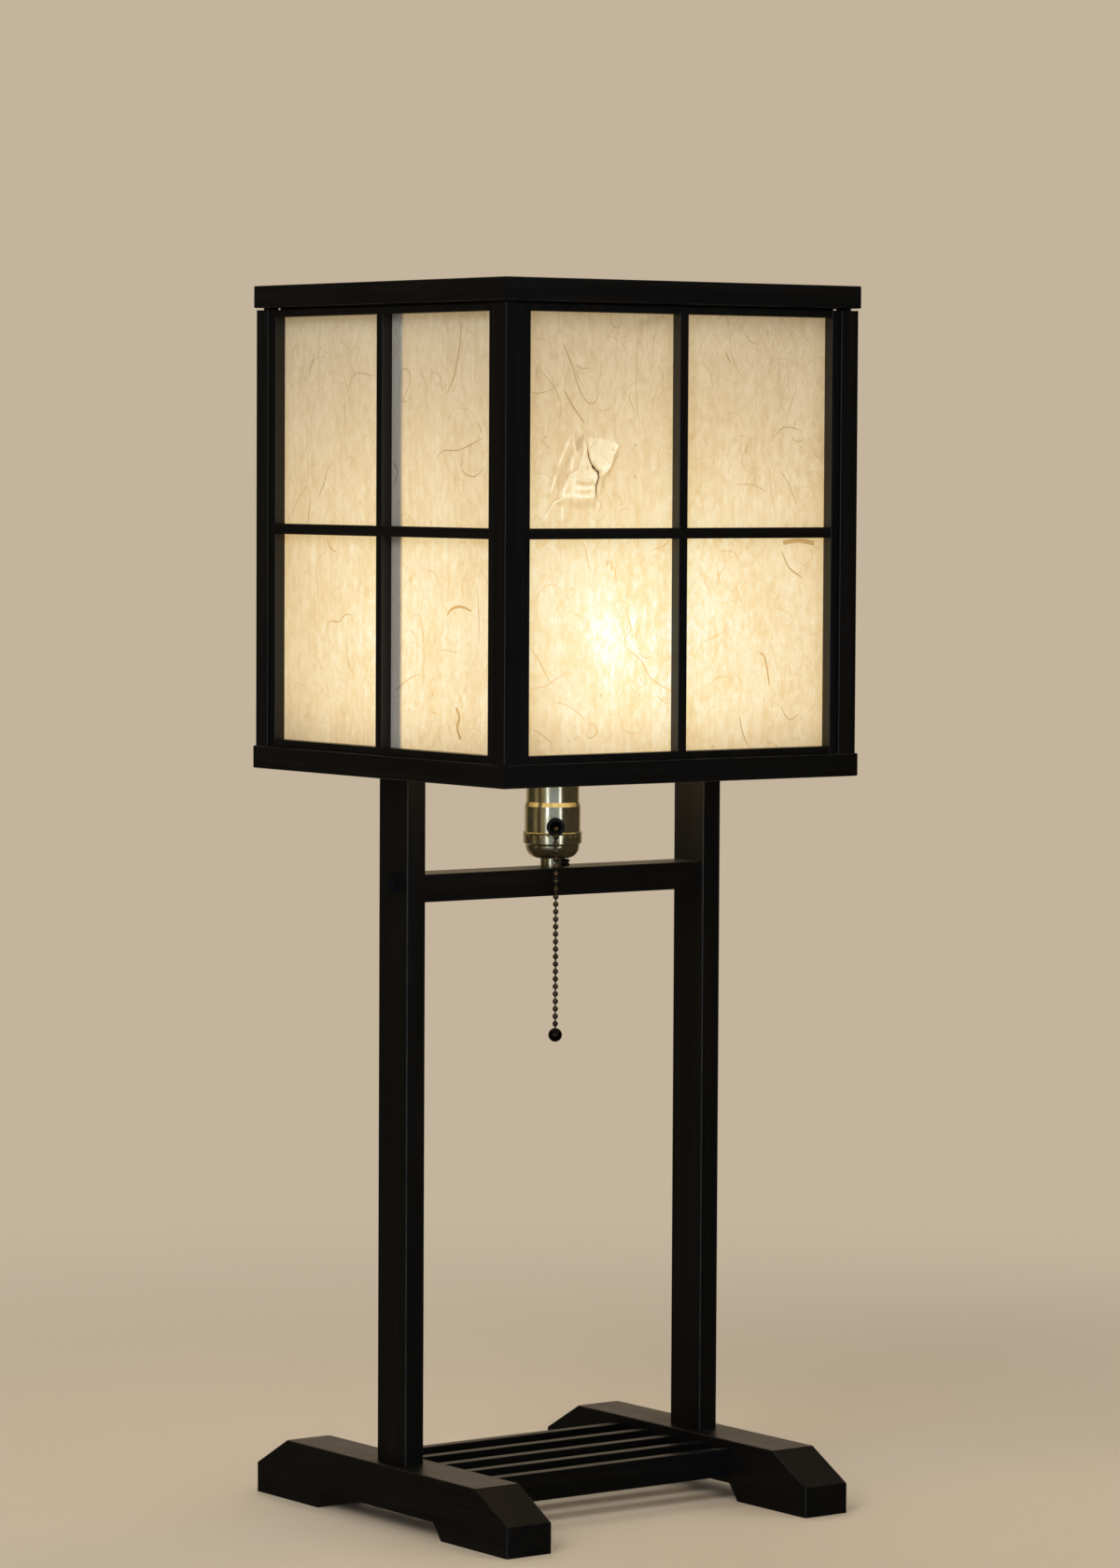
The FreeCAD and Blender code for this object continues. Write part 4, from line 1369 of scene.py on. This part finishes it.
@dataclass
class Studio:
    """The floor, the backdrop, the lamps and the camera."""

    backdrop: Colour = (0.55, 0.455, 0.335)
    ambient: Colour = (0.5, 0.49, 0.47)
    room_front: Colour = (0.33, 0.42, 0.58)
    room_back: Colour = (0.46, 0.36, 0.25)
    room_side: Colour = (0.03, 0.026, 0.018)
    room_left: Colour = (0.26, 0.23, 0.15)
    front_span: Span = (0.78, 0.94)
    back_span: Span = (-0.87, -0.5)
    left_span: Span = (0.8, 0.95)
    camera_place: Triple = (-1.88037, -2.56551, 0.59616)
    bearing: float = math.radians(-36.313)
    tilt: float = math.radians(3.337)
    roll: float = math.radians(0.285)
    lens: float = 129.03
    floor_sides: int = 64
    lit_radius: float = 0.35
    far_radius: float = 1.3
    edge_share: float = 0.97
    floor_cloud: Layer = Layer(6.0)
    floor_tint: float = 0.1
    floor_rough: float = 0.7
    floor_specular: float = 0.1
    softboxes: tuple[Softbox, ...] = (
        Softbox("key_softbox", (-2.4, -1.3, 2.2), 1.5, 1.5, 46.0),
        Softbox("fill_softbox", (2.2, -2.2, 1.5), 1.3, 1.3, 15.0),
        Softbox("top_softbox", (0.3, 1.4, 2.6), 1.4, 1.0, 14.0),
        Softbox("left_strip", (-1.27, -0.8, 0.55), 0.22, 0.9, 1.7, True, (0.95, 1.05, 1.4)),
        Softbox("right_strip", (-0.1, -1.5, 0.55), 0.22, 0.9, 1.5, True, (0.95, 1.05, 1.35)),
    )

    def back(self) -> Vector:
        """Return the direction from the lamp to the camera."""
        flat = math.cos(self.tilt)
        return Vector((math.sin(self.bearing) * flat, -math.cos(self.bearing) * flat, math.sin(self.tilt)))

    def camera(self) -> str:
        """Set up the photograph's camera and return its name."""
        back = self.back()
        right = (-back).cross(Vector((0, 0, 1))).normalized()
        up = back.cross(right)
        turned_right = right * math.cos(self.roll) + up * math.sin(self.roll)
        turned_up = up * math.cos(self.roll) - right * math.sin(self.roll)
        data = bpy.data.cameras.new("camera")
        data.lens = self.lens
        camera = add_object("camera", data)
        axes = Matrix((turned_right, turned_up, back)).transposed()
        camera.matrix_world = Matrix.Translation(self.camera_place) @ axes.to_4x4()
        bpy.context.scene.camera = camera
        return camera.name

    def floor_finish(self) -> Material:
        """Return the pale floor's material, which fades into the backdrop wherever it is seen."""
        bench = new_bench("floor")
        away = bench.vector("LENGTH", bench.place, (0, 0, 0), "Value")
        soft = bench.cloud(self.floor_cloud) * self.floor_tint
        lit = bench.add("ShaderNodeBsdfPrincipled", None, {
            "Base Color": bench.mix(soft, self.backdrop, self.ambient),
            "Roughness": self.floor_rough,
            "Specular IOR Level": self.floor_specular,
        })
        far = bench.add("ShaderNodeEmission", None, {"Color": self.backdrop})
        seen = bench.rays("Camera", "Glossy", "Transmission")
        share = away.smooth(self.lit_radius, self.edge_share * self.far_radius) * seen
        surface = bench.add("ShaderNodeMixShader", None, {0: share, 1: lit, 2: far})
        bench.add("ShaderNodeOutputMaterial", None, {"Surface": surface})
        return bench.owner

    def floor(self) -> str:
        """Make the round floor and return its name."""
        steps = range(self.floor_sides)
        turns = [math.tau * step / self.floor_sides for step in steps]
        ring = [self.far_radius * Vector((math.cos(turn), math.sin(turn), 0)) for turn in turns]
        faces = [(0, step + 1, (step + 1) % self.floor_sides + 1) for step in steps]
        floor = solid_piece("floor", [Vector((0, 0, 0)), *ring], faces)
        floor.data.materials.append(self.floor_finish())
        floor.visible_glossy = False
        return floor.name

    def world(self) -> str:
        """Light the room evenly, with dark sides for what shines, and return the world's name."""
        world = bpy.data.worlds.new("studio")
        bench = Bench(world)
        direction = bench.add("ShaderNodeTexCoord", output="Generated")
        towards = bench.vector("DOT_PRODUCT", direction, self.back(), "Value")
        leftward = bench.vector("DOT_PRODUCT", direction, Face.LEFT.outward, "Value")
        dark = bench.mix(leftward.smooth(*self.left_span), self.room_side, self.room_left)
        sides = bench.mix(towards.smooth(*self.back_span), self.room_back, dark)
        mirrored = bench.mix(towards.smooth(*self.front_span), sides, self.room_front)
        unseen = bench.mix(bench.rays("Glossy"), self.ambient, mirrored)
        colour = bench.mix(bench.rays("Camera", "Transmission"), unseen, self.backdrop)
        light = bench.add("ShaderNodeBackground", None, {"Color": colour})
        bench.add("ShaderNodeOutputWorld", None, {"Surface": light})
        bpy.context.scene.world = world
        return world.name

    def build(self) -> Iterator[str]:
        """Make the whole studio, and yield its parts' names."""
        bpy.context.scene.view_settings.view_transform = "Standard"
        yield self.camera()
        yield self.floor()
        yield self.world()
        for softbox in self.softboxes:
            yield softbox.build()


def main() -> None:
    """Dress the lamp, light it and report each piece."""
    logging.basicConfig(level=logging.INFO, format="%(message)s")
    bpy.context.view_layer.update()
    for title, names in (
        ("wood", Woodwork().dress()),
        ("metal and mouldings", MetalAndMouldings().dress()),
        ("bulb", Bulb().build()),
        ("paper", Shade().build()),
        ("studio", Studio().build()),
    ):
        for name in names:
            LOG.info("%s: %s", title, name)


if __name__ == "__main__":
    main()
